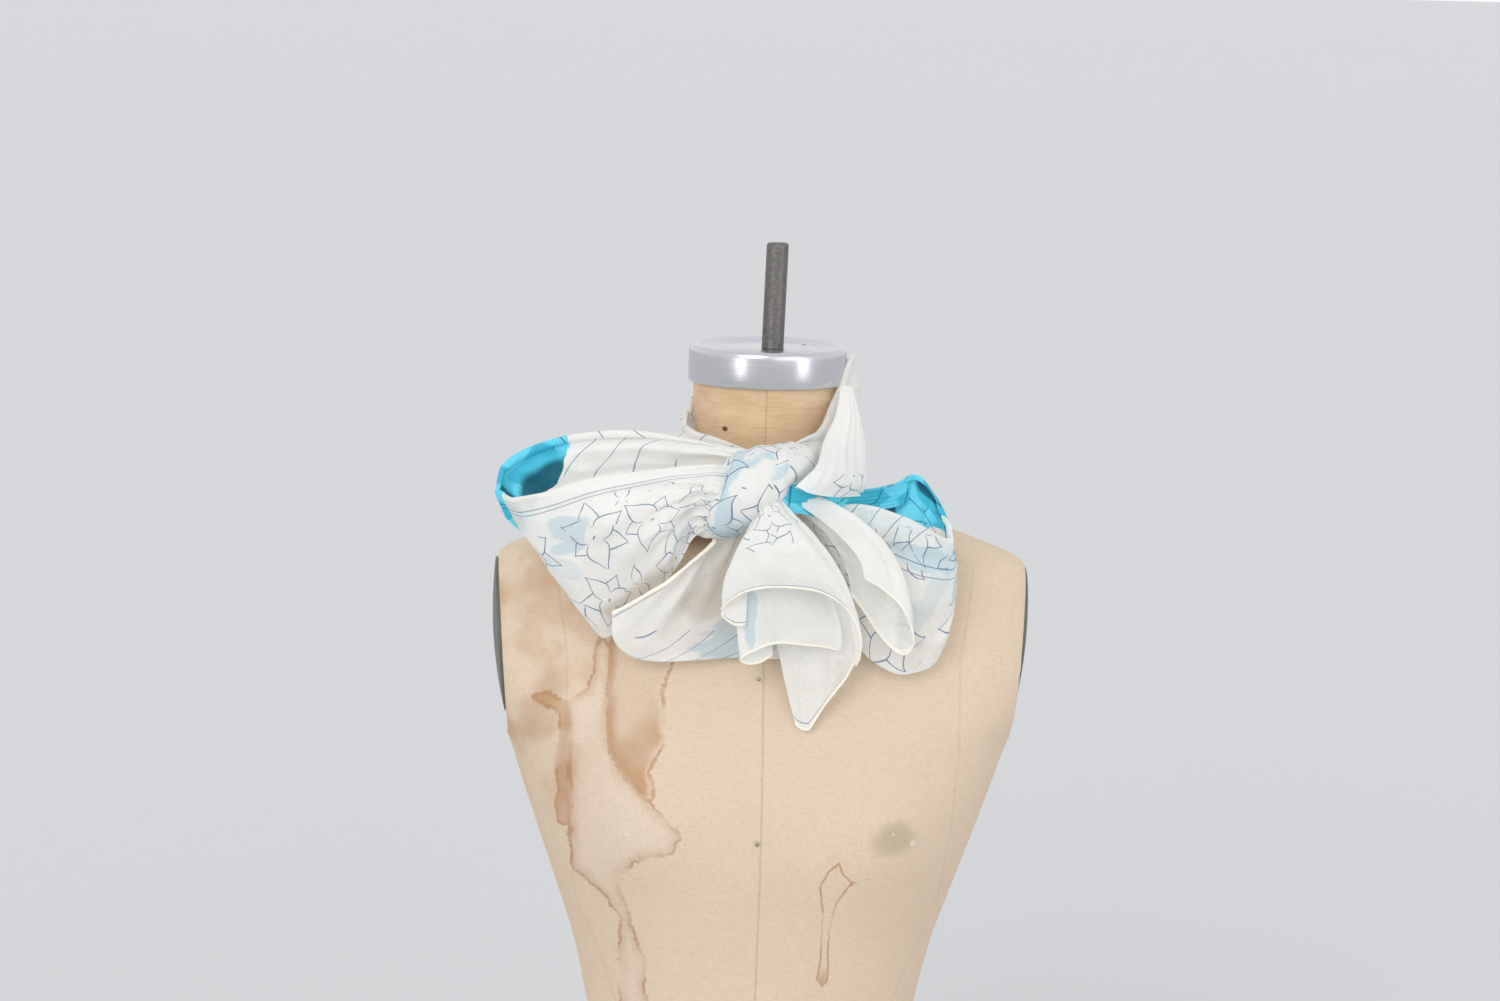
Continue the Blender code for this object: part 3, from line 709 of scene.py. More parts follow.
def petals(graph, out, angle, radius, size, count, fullness, turn, chance):
    """How far each place is outside the outline of the nearest petal of a ring, in metres, and how
    far along the petal it is. The outline's half width is the sine of pi times the distance out,
    to a power that draws its tip to a point. Petals differ in length and bend."""
    sector = (angle + turn + (out - 0.4) * out * 0.9 * (chance[2] - 0.35)) * (count / (2 * pi))
    nearest = graph.maths("ROUND", sector)
    local = (sector - nearest) * (2 * pi / count)
    toss = graph.maths("SINE", nearest * 2.7 + chance[0] * 40 + turn * 9) * 43.7
    ahead = graph.maths("COSINE", local) * out / (0.78 + 0.24 * abs(graph.maths("FRACT", toss)))
    aside = abs(graph.maths("SINE", local)) * radius
    inside = graph.maths("MAXIMUM", graph.maths("MINIMUM", ahead, 0.999), 0.001)
    half_width = graph.maths("SINE", (inside**0.72) * pi) ** 1.25 * size * fullness
    return aside - half_width, ahead


def outline(graph, outside, ahead, base):
    """The drawn line of a ring of petals, from its base out to its tips, widest past its middle as
    a brush leaves it."""
    swell = 0.72 + abs(ahead - 0.6) * 1.2
    line = graph.near(outside * swell, LINE_WIDTH) * graph.ease(ahead, base, base + 0.08)
    return line * graph.ease(ahead, 1.03, 0.99)


def scattered(graph, u, v, cell, scatter):
    """The nearest centre of a scattered pattern: the offset to it, the angle, the distance as a
    share of a flower's radius, the distance and radius in metres, and three chance numbers."""
    sockets = {"Vector": graph.vector(u, v), "Scale": 1 / cell, "Randomness": scatter}
    cells = graph.node("TexVoronoi", {"voronoi_dimensions": "2D", "feature": "F1"}, sockets)
    centre = graph.parts(cells.outputs["Position"])
    chance = graph.parts(cells.outputs["Color"])
    away_u = u - centre[0]
    away_v = v - centre[1]
    radius = (away_u * away_u + away_v * away_v) ** 0.5
    size = cell * (0.47 + 0.09 * chance[1])
    angle = graph.maths("ARCTAN2", away_v, away_u) + chance[0] * (2 * pi)
    return away_u, away_v, angle, radius / size, radius, size, chance


def lilies(graph, u, v):
    """Open flowers in line: three petals in front and three behind, with a dark dash at the
    centre. Gives the lines, the dash and the share of the radius out."""
    away_u, away_v, angle, out, radius, size, chance = scattered(graph, u, v, FLOWER_CELL, 0.42)
    front, front_ahead = petals(graph, out, angle, radius, size, 3, 0.31, 0.0, chance)
    behind, behind_ahead = petals(graph, out, angle, radius, size, 3, 0.27, pi / 3, chance)
    lines = outline(graph, front, front_ahead, 0.12)
    hidden = graph.ease(front, 0.0, 0.0004)
    hidden = graph.highest(hidden, graph.ease(front_ahead, 0.97, 1.0))
    lines = graph.highest(lines, outline(graph, behind, behind_ahead, 0.22) * hidden)
    lengthwise = away_u * 0.8 + away_v * 0.6
    aside = away_v * 0.8 - away_u * 0.6
    dash = graph.ease((lengthwise**2 * 0.2 + aside**2) ** 0.5, 0.0011, 0.0006)
    return lines, dash, out


def sprigs(graph, u, v):
    """Small curled leaves between the flowers."""
    _, _, angle, out, radius, size, chance = scattered(graph, u, v, SPRIG_CELL, 0.9)
    leaf, ahead = petals(graph, out, angle, radius, size, 2, 0.26, 0.5, chance)
    return outline(graph, leaf, ahead, 0.05) * graph.ease(chance[1], 0.35, 0.36)


def silk():
    """Sheer printed silk: line flowers, contour lines, pale patches and turquoise dye on white,
    with painted shade in the dye's hollows.
    """
    graph = Graph(bpy.data.materials.new("printed_silk"))
    u, v = graph.cloth_place()

    def mottle(layer, scale, detail):
        """Noise on the cloth, each layer unlike the others."""
        return graph.noise((u, v, layer), scale, detail)

    sway = mottle(0.0, 24, 1.2) - 0.5
    drift = graph.noise((v, u, 0.3), 24, 1.2) - 0.5
    u_drawn = u + sway * 0.012
    v_drawn = v + drift * 0.012
    flower, dash, out = lilies(graph, u_drawn, v_drawn)
    clear = graph.ease(out, 0.98, 1.06)
    printed = graph.ease(graph.field("flowers"), 0.0, 0.05)
    faint = graph.ease(mottle(2.0, 60, 1.0), 0.22, 0.36)
    drawing = graph.highest(flower, sprigs(graph, u_drawn + 0.4, v_drawn + 0.7) * clear) * faint
    drawing = graph.highest(drawing, dash) * printed
    strand = (u * 0.75 + v * 0.66 + (mottle(0.8, 16, 0.3) - 0.5) * 0.05) / CONTOUR_SPACING
    contour = graph.near((graph.maths("FRACT", strand) - 0.5) * CONTOUR_SPACING, LINE_WIDTH)
    gaps = graph.ease(mottle(3.3, 22, 0.5), 0.36, 0.42)
    contour = contour * gaps * graph.ease(graph.field("contours"), 0.0, 0.1)
    outer_rule = graph.near(graph.field("rule_outer"), 0.42)
    inner_rule = graph.near(graph.field("rule_inner"), 0.36)
    rules = graph.highest(outer_rule, inner_rule)
    lines = graph.highest(drawing, contour * 0.9, rules * 0.9)
    edge_wander = mottle(6.2, 55, 2.0) - 0.5
    dye = graph.ease(graph.field("dye") + (sway + drift) * 0.9 + edge_wander * 0.3, 0.0, 0.02)
    wash = graph.ease(graph.field("wash") + (sway - drift) * 1.6 + edge_wander * 1.4, 0.0, 0.16)
    patch = graph.ease(mottle(5.1, 22, 0.3), 0.680, 0.695) * printed
    pale = graph.highest(wash, patch * 0.5)
    shade = graph.ease(mottle(4.0, 30, 0.5), 0.50, 0.53)
    # Painted shade: the dye darkens towards deep teal (2, 92, 114) inside the loops' hollows and
    # along fold streaks, where shade falls, and lets less light through there
    deep = graph.field("deep") + (sway - drift) * 0.4 + edge_wander * 0.3
    hollow_shade_share = graph.ease(deep, 0.0, 0.4)
    turquoise = graph.mix(shade * 0.75, (112, 224, 248), (36, 176, 202))
    cloth = graph.layers(
        graph.mix(mottle(9.0, 30, 2.0), (249, 248, 244), (241, 242, 238)),
        (pale * 0.62, (178, 214, 229)),
        (dye, graph.mix(hollow_shade_share * 0.95, turquoise, (2, 92, 114))),
        (lines * 0.9, graph.mix(dye, (76, 110, 150), (14, 92, 118))),
    )
    thread = graph.noise((u * 6, v), 260, 1.0) + graph.noise((u, v * 6), 260, 1.0)
    face = graph.principled(
        Base_Color=cloth,
        Roughness=0.62,
        Normal=graph.bump(mottle(7.0, 60, 3.0) * 1.2 + thread * 0.08, 0.0014, 0.55),
        Sheen_Weight=0.1,
        Sheen_Roughness=0.4,
        Specular_IOR_Level=0.22,
    )
    white_glow = graph.node("BsdfTranslucent", {}, {"Color": (248, 246, 240)}).outputs[0]
    dyed_glow = graph.node("BsdfTranslucent", {}, {"Color": (92, 216, 244)}).outputs[0]
    glow_share = (1 - lines) * (1 - hollow_shade_share * dye) * 0.18
    body = graph.blend(glow_share, face, graph.blend(dye, white_glow, dyed_glow))
    through_it = graph.node("BsdfTransparent", {}, {}).outputs[0]
    doubled = graph.ease(mottle(8.2, 24, 1.0), 0.40, 0.60)
    sheerest = graph.ease(graph.field("sheer") + (sway + drift) * 1.2, 0.0, 0.5)
    weave = 0.81 + doubled * 0.09 + (thread - 1.0) * 0.20 - sheerest * 0.28
    edge = graph.ease(graph.field("hem"), 5.0, 1.0) * 0.95
    solid = graph.highest(weave, dye * 0.99, lines * 0.9, edge)
    return graph.out(graph.blend(solid, through_it, body))


def hem_silk():
    """The rolled hem: cream silk, opaque, with a fine spiral of hand stitches."""
    graph = Graph(bpy.data.materials.new("rolled_hem_silk"))
    u, v = graph.cloth_place()
    stitch = graph.near(graph.maths("FRACT", u / 0.0052 + v / 0.007) - 0.5, 0.07)
    tint = graph.noise((u, v), 90, 2.0)
    cloth = graph.mix(tint, (252, 248, 236), (243, 237, 220))
    face = graph.principled(
        Base_Color=graph.layers(cloth, (stitch * 0.07, (205, 196, 176))),
        Roughness=0.6,
        Normal=graph.bump(tint - stitch * 0.12, 0.0006),
        Sheen_Weight=0.25,
        Specular_IOR_Level=0.3,
    )
    return graph.out(face)


def on_knot(x, turn, grow=0.4):
    """Places on the knot, as along X and the turn in degrees, a little proud of its solid."""
    rows = through(KNOT, 60)
    here = KnotSection(*[np.interp(x, rows[:, 0], column) for column in rows.T])
    turn = np.radians(turn)
    y = here.centre_y - (here.half_depth + grow) * np.sin(turn)
    z = here.centre_z - (here.half_height + grow) * np.cos(turn)
    return np.stack([here.x + 0 * turn, y, z], axis=-1)


def place(point):
    """The x, y and z of a place in a section's table."""
    return on_knot(*point) if isinstance(point, OnKnot) else np.array(point, float)


def parabola(head, middle, foot, t):
    """Points on the parabola through three places, head at 0, middle at a half and foot at 1."""
    return head * (1 - t) * (1 - 2 * t) + middle * 4 * t * (1 - t) + foot * t * (2 * t - 1)


def section_points(section, across):
    """Points from head to foot of a section. One that lies on the knot follows its surface."""
    t = np.linspace(0, 1, across)[:, None]
    if all(isinstance(point, OnKnot) for point in section):
        return on_knot(*parabola(*np.array(section, float), t).T)
    return parabola(*(place(point) for point in section), t)


def uneven(t, start):
    """A place from 0 to 1 shifted a little by slow waves, so that repeats come out uneven."""
    waves = 0.035 * np.sin(2 * pi * (1.3 * t + start)) + 0.02 * np.sin(2 * pi * (2.9 * t - start))
    return t + waves


def crumple(u, v, seed):
    """Soft crumpling in millimetres: ridged waves of three lengths that run in scattered
    directions, each warped by slow waves so that its ridges wander."""
    chance = np.random.default_rng(seed)
    height = 0
    for length, depth in ((54, 1.5), (31, 0.9), (17, 0.4)):
        for turn, start in chance.uniform(0, 2 * pi, (3, 2)):
            slow = np.sin(u / (length * 0.7) + 3 * start) + np.sin(v / (length * 0.6) - start)
            phase = (u * np.cos(turn) + v * np.sin(turn)) * 2 * pi / length + 0.9 * slow + start
            height = height + depth / 3 * (1 - 2 * np.sqrt(np.sin(phase / 2) ** 2 + 0.03))
    return height


def curled_strip(points, normal, curl, seed):
    """A soft fold that goes on from an edge: the cloth turns inwards on an arc whose radius wavers
    along the edge and tightens as it turns."""
    last = curl.edge == "foot"
    line, inner = (points[:, -1], points[:, -3]) if last else (points[:, 0], points[:, 2])
    inward = -normal[:, -1] if last else -normal[:, 0]
    outward = unit(line - inner)
    share = np.linspace(0, 1, len(line))
    waver = 1 + 0.25 * np.sin(14 * share + seed) + 0.15 * np.sin(37 * share - seed)
    radius = curl.radius * waver * np.clip(np.minimum(share, 1 - share) * 12, 0.25, 1)
    last_turn = np.radians(curl.turn + 25 * np.sin(9 * share + 2 * seed))
    turn = (np.arange(1, CURL_STEPS + 1) / CURL_STEPS)[None] * last_turn[:, None]
    radius = radius[:, None] * (1 - 0.2 * turn / pi)
    strip = line[:, None] + inward[:, None] * (radius * (1 - np.cos(turn)))[..., None]
    strip = strip + outward[:, None] * (radius * np.sin(turn))[..., None]
    return strip if last else strip[:, ::-1]


def add_curls(sheet, smooth, points, normal, shares, width, seed):
    """The points of a stretch with its curled edges beside them, and their shares along and
    across it."""
    along, across = shares
    for curl in sheet.curls:
        last = curl.edge == "foot"
        edge = np.s_[:, -1:] if last else np.s_[:, :1]
        strip = curled_strip(smooth, normal, curl, seed) + (points[edge] - smooth[edge])
        steps = np.arange(1, CURL_STEPS + 1)
        step = curl.radius * radians(curl.turn) / width / CURL_STEPS * steps
        beyond = np.broadcast_to(1 + step if last else -step[::-1], strip.shape[:2])
        order = 1 if last else -1
        points = np.concatenate((points, strip)[::order], axis=1)
        across = np.concatenate((across, beyond)[::order], axis=1)
        along = np.concatenate((along, np.broadcast_to(along[:, :1], beyond.shape)), axis=1)
    return points, along, across


def gathers(sheet, along, across, reach):
    """Folds that leave the roots: rounded waves, uneven in place, fading with the distance in
    millimetres from the root."""
    share = across if sheet.roots == "ends" else along
    height = 0
    for gather in sheet.gathers:
        wander = 0.10 * np.sin(reach / 24 + 6 * gather.start)
        phase = gather.count * (uneven(share, gather.start) + wander / gather.count) + gather.start
        wave = np.sin(2 * pi * phase)
        wave = np.sign(wave) * np.abs(wave) ** 0.8
        height = height + gather.depth * wave * np.exp(-reach / gather.reach)
    return height


def creases(sheet, along, across, size):
    """Listed creases: a bell-shaped ridge or furrow along the line between two places."""
    spot = np.stack([along * size[0], across * size[1]], axis=-1)
    height = 0
    for crease in sheet.creases:
        away, t = line_distance(spot, np.array(crease.start) * size, np.array(crease.end) * size)
        ridge = np.exp(-((away / crease.width) ** 2)) * np.sin(pi * (0.15 + 0.7 * t))
        height = height + crease.depth * ridge
    return height


def oval_field(ovals, along, across):
    """Above nought inside the ovals, and one at their centres."""
    field = np.full(along.shape, OFF)
    for oval in ovals:
        away_along = (along - oval.along) / oval.half_along
        away_across = (across - oval.across) / oval.half_across
        field = np.maximum(field, 1 - np.hypot(away_along, away_across))
    return field


def silk_fields(shape, **given):
    """The numbers that the silk's print reads, each off or far unless it's given."""
    fields = dict.fromkeys(PRINTS, OFF) | dict.fromkeys(("hem", "rule_outer", "rule_inner"), FAR)
    fields |= given
    return {name: np.broadcast_to(values, shape) for name, values in fields.items()}


def make_hem(name, points, edge, material):
    """A rolled hem: a thin tube on the edge's curve, its radius and place wavering as a
    hand-rolled hem does, with rounded ends. Its outward side points away from the cloth."""
    lines = points.transpose(1, 0, 2)[::-1] if edge == "foot" else points
    line, inner = lines[0], lines[2]
    length = np.concatenate([[0], np.cumsum(np.linalg.norm(np.diff(line, axis=0), axis=1))])
    steps = np.arange(0, length[-1], HEM_STEP)

    def spaced(rows):
        return np.stack([np.interp(steps, length, column) for column in rows.T], axis=1)

    line, inner = spaced(line), spaced(inner)
    ahead = unit(np.gradient(line, axis=0))
    outward = line - inner
    outward = unit(outward - (outward * ahead).sum(axis=1, keepdims=True) * ahead)
    upward = np.cross(ahead, outward)
    swell = 1 + 0.03 * np.sin(steps * 2.1) + 0.12 * np.sin(steps / 7.3 + 1)
    swell = swell + 0.07 * np.sin(steps / 2.9)
    ends = np.clip(np.minimum(steps, steps[-1] - steps) / 1.5, 0.15, 1)
    reach = (HEM_RADIUS[edge] * swell * ends)[:, None, None]
    turn = around(HEM_SIDES)[:, None]
    ring = upward[:, None] * np.cos(turn) + outward[:, None] * np.sin(turn)
    wander = 0.25 * np.sin(steps / 5.1)[:, None, None] * upward[:, None]
    points = line[:, None] + reach * ring + wander
    hem, _ = add_surface(name, points, closed_round=True, capped=True)
    return finish_piece(hem, material, "scarf_silk")


def cloth_area(piece, flat):
    """The cloth's own area in square metres, kept between what its flat size allows."""
    area = sum(face.area for face in piece.data.polygons)
    return float(np.clip(area, 0.3 * flat[0] * flat[1], flat[0] * flat[1]))


def make_sheet(sheet, silk_material, hem_material):
    """One stretch of the scarf: smooth curves along its sections, with gathers, creases and
    crumpling on them, soft folds at its curled edges and its rolled hems."""
    seed = len(sheet.node) + ord(sheet.node[0])
    rows = [section_points(section, sheet.across) for section in sheet.sections]
    smooth = through(rows, sheet.along)
    normal = sheet.facing * surface_normal(smooth)
    along, across = grid_shares(sheet.along, sheet.across)
    long_steps = np.percentile(np.linalg.norm(np.diff(smooth, axis=0), axis=2), 75, axis=1)
    cross_steps = np.percentile(np.linalg.norm(np.diff(smooth, axis=1), axis=2), 75, axis=0)
    size = np.array([long_steps.sum(), cross_steps.sum()])
    looped = sheet.roots == "ends"
    reach = np.minimum(along, 1 - along) * size[0] if looped else across * size[1]
    relief = gathers(sheet, along, across, reach) + creases(sheet, along, across, size)
    soft = sheet.crumple * np.clip(reach / 30, 0, 1)
    relief = relief + soft * crumple(along * size[0], across * size[1], seed)
    points = smooth + normal * (relief * np.clip(reach / 5, 0, 1))[..., None]
    shares = (along, across)
    points, along, across = add_curls(sheet, smooth, points, normal, shares, size[1], seed)
    edges = {"start": along * size[0], "head": across * size[1], "foot": (1 - across) * size[1]}
    thin = np.where((along > RULES_STOP) & looped, RULES_THIN, 1.0)
    rules = [(edges[rule.edge] - rule.inset) * thin for rule in sheet.rules] + [FAR, FAR]
    hem = FAR
    for edge in sheet.hems:
        hem = np.minimum(hem, edges[edge])
    fields = silk_fields(
        along.shape,
        hem=hem,
        rule_outer=rules[0],
        rule_inner=rules[1],
        **{name: oval_field(getattr(sheet, name), along, across) for name in PRINTS},
    )
    piece, flat = add_surface(
        sheet.node + "_silk", points, fields=fields, flip=sheet.facing < 0, start=seed
    )
    finish_piece(piece, silk_material, "scarf_silk", sheet.node)
    hems = [make_hem(f"{sheet.node}_{e}_hem", points, e, hem_material) for e in sheet.hems]
    rests_on = ["neck"] if sheet.node == "neck_wrap" else ["knot"]
    area = cloth_area(piece, flat)


# What is wrapped round the knot, as sections from one edge to the other, and how far it stands
# off, how much it bows, its pleats and its print. Flowers start at a share along it, and a rule
# runs so many millimetres across it
BAND_ALONG = 150
BAND_ACROSS = 70
EDGE_TURNED_UNDER = 1.2
Band = namedtuple(
    "Band",
    "name sections lift bow pleats dye wash flowers contours rule",
    defaults=(OFF, OFF, 0.0, OFF, FAR),
)
BANDS = [
    Band(
        "knot_band",
        [
            Three(OnKnot(-26, 262), OnKnot(-4, 262), OnKnot(20, 262)),
            Three(OnKnot(-33, 215), OnKnot(-8, 215), OnKnot(19, 215)),
            Three(OnKnot(-38, 175), OnKnot(-12, 172), OnKnot(17, 170)),
            Three(OnKnot(-46, 135), OnKnot(-15, 132), OnKnot(14, 130)),
            Three(OnKnot(-52, 95), OnKnot(-18, 92), OnKnot(12, 90)),
            Three(OnKnot(-50, 60), OnKnot(-18, 58), OnKnot(11, 60)),
            Three(OnKnot(-41, 30), OnKnot(-15, 30), OnKnot(10, 34)),
            Three(OnKnot(-30, 0), OnKnot(-12, 0), OnKnot(8, 8)),
            Three(OnKnot(-24, -40), OnKnot(-10, -40), OnKnot(6, -34)),
        ],
        lift=1.4, bow=1.6, pleats=3.2, wash=0.3, rule=5.5,
    ),
    Band(
        "collar_fold",
        [
            Three(OnKnot(-4, 235), (16, -76, 696), (35, -64, 694)),
            Three(OnKnot(-8, 200), (16, -83, 698), (37, -68, 695)),
            Three(OnKnot(-12, 176), (15, -93, 697), (36, -76, 690)),
            Three(OnKnot(-14, 150), (13, -110, 694), (32, -90, 683)),
            Three(OnKnot(-11, 124), (11, -121, 685), (26, -102, 676)),
            Three(OnKnot(-2, 104), (12, -124, 676), (21, -112, 670)),
            Three(OnKnot(10, 90), (15, -122, 671), (18, -116, 667)),
        ],
        lift=2.4, bow=1.2, pleats=1.7,
    ),
    Band(
        "dyed_fold",
        [
            Three((4, -127, 668), (6, -129, 663), (8, -127, 658)),
            Three((14, -127, 677), (16, -128, 667), (18, -125, 657)),
            Three((28, -121, 675), (31, -119, 664), (33, -115, 653)),
            Three((46, -107, 669), (49, -104, 661), (51, -99, 651)),
            Three((64, -90, 667), (66, -87, 660), (68, -84, 653)),
            Three((82, -74, 668), (84, -72, 661), (86, -70, 653)),
            Three((98, -63, 671), (99, -62, 664), (100, -62, 656)),
        ],
        lift=0.8, bow=1.0, pleats=1.2, dye=1.0, flowers=2.0, contours=1.0,
    ),
    Band(
        "wrap_strip",
        [
            Three((51, -34, 736), (57, -34, 736), (61, -31, 735)),
            Three((46, -58, 718), (56, -57, 716), (66, -46, 712)),
            Three((37, -84, 704), (51, -78, 701), (69, -56, 697)),
            Three((30, -119, 691), (47, -107, 686), (69, -70, 682)),
            Three((22, -130, 684), (43, -118, 678), (69, -80, 673)),
            Three((14, -136, 677), (36, -126, 669), (66, -88, 664)),
        ],
        lift=0.8, bow=2.2, pleats=1.6, flowers=0.66,
    ),
]


def make_band(band, material):
    """A band wrapped round the knot: it bows off it between its edges, which turn under, with long
    pleats that run round it."""
    rows = [section_points(section, BAND_ACROSS) for section in band.sections]
    points = through(rows, BAND_ALONG)
    normal = surface_normal(points)
    along, across = grid_shares(BAND_ALONG, BAND_ACROSS)
    arch = np.clip(1 - (2 * across - 1) ** 2, 0, 1) ** 0.3
    wander = 0.3 * np.sin(5 * along) + 0.12 * np.sin(11 * along + 1)
    pleat = 1 - 1.6 * np.abs(np.sin(pi * (band.pleats * across + wander))) ** 0.6
    pleat = pleat + 0.4 * np.sin(2 * pi * (5.3 * across - along))
    end = np.clip(np.minimum(along, 1 - along) * 6, 0, 1)
    lift = (band.lift + band.bow) * arch * end - EDGE_TURNED_UNDER + 0.8 * pleat * arch * end
    points = points + normal * lift[..., None]
    width = np.linalg.norm(np.diff(points, axis=1), axis=2).sum(axis=1, keepdims=True) * across
    fields = silk_fields(
        along.shape,
        dye=band.dye,
        wash=np.maximum(band.wash - np.abs(across - 0.24) * 4, min(band.wash, -0.22)),
        flowers=along - band.flowers,
        contours=band.contours,
        hem=0.0,
        rule_outer=width - band.rule,
    )
    piece, flat = add_surface(band.name, points, fields=fields, start=len(band.name))
    finish_piece(piece, material, "scarf_silk")
    area = cloth_area(piece, flat)


def make_knot(material):
    """The knot's core: an oval section carried along X, with slanting wraps on it. A wrap is a
    rounded wave of the turn and the place along X."""
    left, right = KNOT[0].x, KNOT[-1].x
    x = np.linspace(left + 0.1, right - 0.1, 150)
    turn = np.linspace(0, 360, 160, endpoint=False)
    spot_x, spot_turn = np.meshgrid(x, turn, indexing="ij")
    wave = np.sin(np.radians(spot_turn) * 3 + spot_x / 7.5)
    fine = np.sin(np.radians(spot_turn) * 9 - spot_x / 5 + 2 * np.sin(spot_x / 11))
    ends = np.clip(np.minimum(spot_x - left, right - spot_x) / 10, 0, 1)
    points = on_knot(spot_x, spot_turn, (0.4 + 0.8 * wave + 0.35 * fine) * ends)
    fields = silk_fields(spot_x.shape, contours=1.0, hem=0.0)
    piece, _ = add_surface("knot_silk", points, closed_round=True, capped=True, fields=fields)
    finish_piece(piece, material, "scarf_silk", "knot")


# The dress form


def outline_field(x, z, outline):
    """How far inside a closed outline each place is, below nought outside, in millimetres."""
    corners = np.array(outline, float)
    spot = np.stack([x, z], axis=-1)
    nearest = np.full(x.shape, np.inf)
    inside = np.zeros(x.shape, bool)
    for start, end in zip(corners, np.roll(corners, -1, axis=0)):
        nearest = np.minimum(nearest, line_distance(spot, start, end)[0])
        crosses = (start[1] > z) != (end[1] > z)
        rise = end[1] - start[1] or 1.0
        inside ^= crosses & (x < start[0] + (z - start[1]) * (end[0] - start[0]) / rise)
    return np.where(inside, nearest, -nearest)


def torso_points(levels, sides):
    """The torso: a squared oval at each height, with two soft mounds in front, cut flat at the
    armholes, where the cut runs out below them."""
    rows = through(TORSO, levels)
    rows[:, 0] = np.maximum.accumulate(rows[:, 0])
    height, half_width, front, back, squareness = rows.T[..., None]
    sine, cosine = np.sin(around(sides)), np.cos(around(sides))
    x = half_width * np.sign(cosine) * np.abs(cosine) ** (2 / squareness)
    y = np.where(sine < 0, front, back) * np.sign(sine) * np.abs(sine) ** (2 / squareness)
    sideways = (np.abs(x) - BUST_SPACING) / BUST_HALF_WIDTH
    upwards = (height - BUST_HEIGHT) / BUST_HALF_HEIGHT
    y = y - BUST_DEPTH * np.exp(-(sideways**2) - upwards**2) * np.clip(-y / front, 0, 1)
    cut = SIDE_CUT_AT_SHOULDER - SIDE_CUT_SLOPE * (SHOULDER_HEIGHT - height)
    cut = cut + np.maximum(ARMHOLE_FOOT - height, 0) * CUT_WIDENS
    x = np.clip(x, -cut, cut)
    return np.stack([x, y, np.broadcast_to(height, x.shape)], axis=-1)


def linen():
    """Plain linen over padding: fine threads, seams, tide marks of water, a smudge, specks and
    painted shade under the knot.
    """
    graph, x, y, z = material_graph("stained_linen")
    wobble = (graph.noise((x, y, z), 80, 3.0, 0.6) - 0.5) * 9
    wobble = wobble + (graph.noise((x, y, z), 330, 2.0) - 0.5) * 4
    strength = graph.noise((x, y, z), 28, 2.0)
    washed, patch, band = (graph.field(name) + wobble for name in ("washed", "patch", "band"))
    drip = graph.field("drip") + wobble * 0.35
    front = graph.ease(y, 0.0, -0.03)
    damp = graph.ease(x + (strength - 0.5) * 0.08, -0.085, -0.135) * graph.ease(z, 0.40, 0.46)
    damp = damp * graph.ease(strength, 0.38, 0.70) * front
    soak = graph.ease(z + (strength - 0.5) * 0.12, 0.530, 0.455)

    def halo(mark, reach, strong):
        return graph.ease(mark, -1.5, 0.5) * graph.ease(mark, reach, 0.0) * strong

    def tide(mark, half_width, low, high, strong):
        return graph.near(mark, half_width) * graph.ease(strength, low, high) * strong

    halos = graph.highest(
        halo(washed, 9.0, 0.35),
        halo(patch, 8.0, graph.ease(x, -0.085, -0.100) * 0.9),
        halo(band, 6.0, 0.5),
    )
    rust = graph.highest(
        halos * graph.ease(strength, 0.28, 0.55),
        tide(washed, 1.3, 0.34, 0.60, 0.9),
        tide(patch, 1.2, 0.38, 0.56, 0.8),
        tide(band, 1.2, 0.40, 0.56, 0.9),
        tide(drip, 0.7, 0.28, 0.50, 0.9),
        graph.ease(drip, -0.5, 1.5) * graph.ease(z, 0.326, 0.306) * 0.8,
    )
    # Painted shade: dark brown at the top of the front, under the knot, where the gap between the
    # loop and the drape lies in shade
    painted_gap_shade = graph.ease(z, 0.612, 0.627) * graph.ease(abs(x), 0.080, 0.062) * front
    smudge = ((x - 0.094) ** 2 + ((z - 0.421) * 1.4) ** 2) ** 0.5 + (strength - 0.5) * 0.02
    cloth = graph.layers(
        graph.mix(graph.noise((x, y, z), 9, 3.0), (228, 208, 184), (216, 194, 168)),
        (damp * 0.75, (196, 162, 130)),
        (graph.ease(washed, -1.0, 8.0) * 0.55, (224, 206, 188)),
        (graph.ease(patch, -1.0, 6.0) * (0.15 + soak * 0.7), (186, 144, 106)),
        (graph.ease(band, -3.0, 5.0) * (0.12 + strength * 0.9), (186, 142, 104)),
        (rust * 0.75, (172, 122, 80)),
        (painted_gap_shade * 0.85, (116, 70, 38)),
        (graph.ease(smudge, 0.022, 0.004) * front * 0.50, (158, 148, 118)),
    )
    for speck_x, speck_z, wide in SPECKS:
        away = ((x - speck_x) ** 2 + (z - speck_z) ** 2) ** 0.5 + wobble * 0.0003
        speck = graph.ease(away, wide, wide * 0.4) * front * 0.6
        cloth = graph.layers(cloth, (speck, (236, 226, 210)))
    middle = graph.near(x + 0.0012, 0.0006)
    princess = graph.near(graph.field("princess"), 0.7)
    side = graph.near(y - 0.004, 0.0007) * graph.ease(abs(x), 0.08, 0.10)
    seam = graph.highest(middle, princess * 0.5, side * 0.8)
    upright = graph.noise((x * 7, y * 7, z), 180, 1.0)
    threads = upright + graph.noise((x, y, z * 7), 180, 1.0)
    cloth = graph.layers(
        cloth,
        (seam * 0.22, (170, 132, 100)),
        (graph.ease(threads, 0.85, 1.25) * 0.20, (186, 156, 124)),
    )
    face = graph.principled(
        Base_Color=cloth,
        Roughness=0.88,
        Normal=graph.bump(threads * 0.35 - seam * 0.8, 0.001, 0.6),
        Specular_IOR_Level=0.25,
    )
    return graph.out(face)


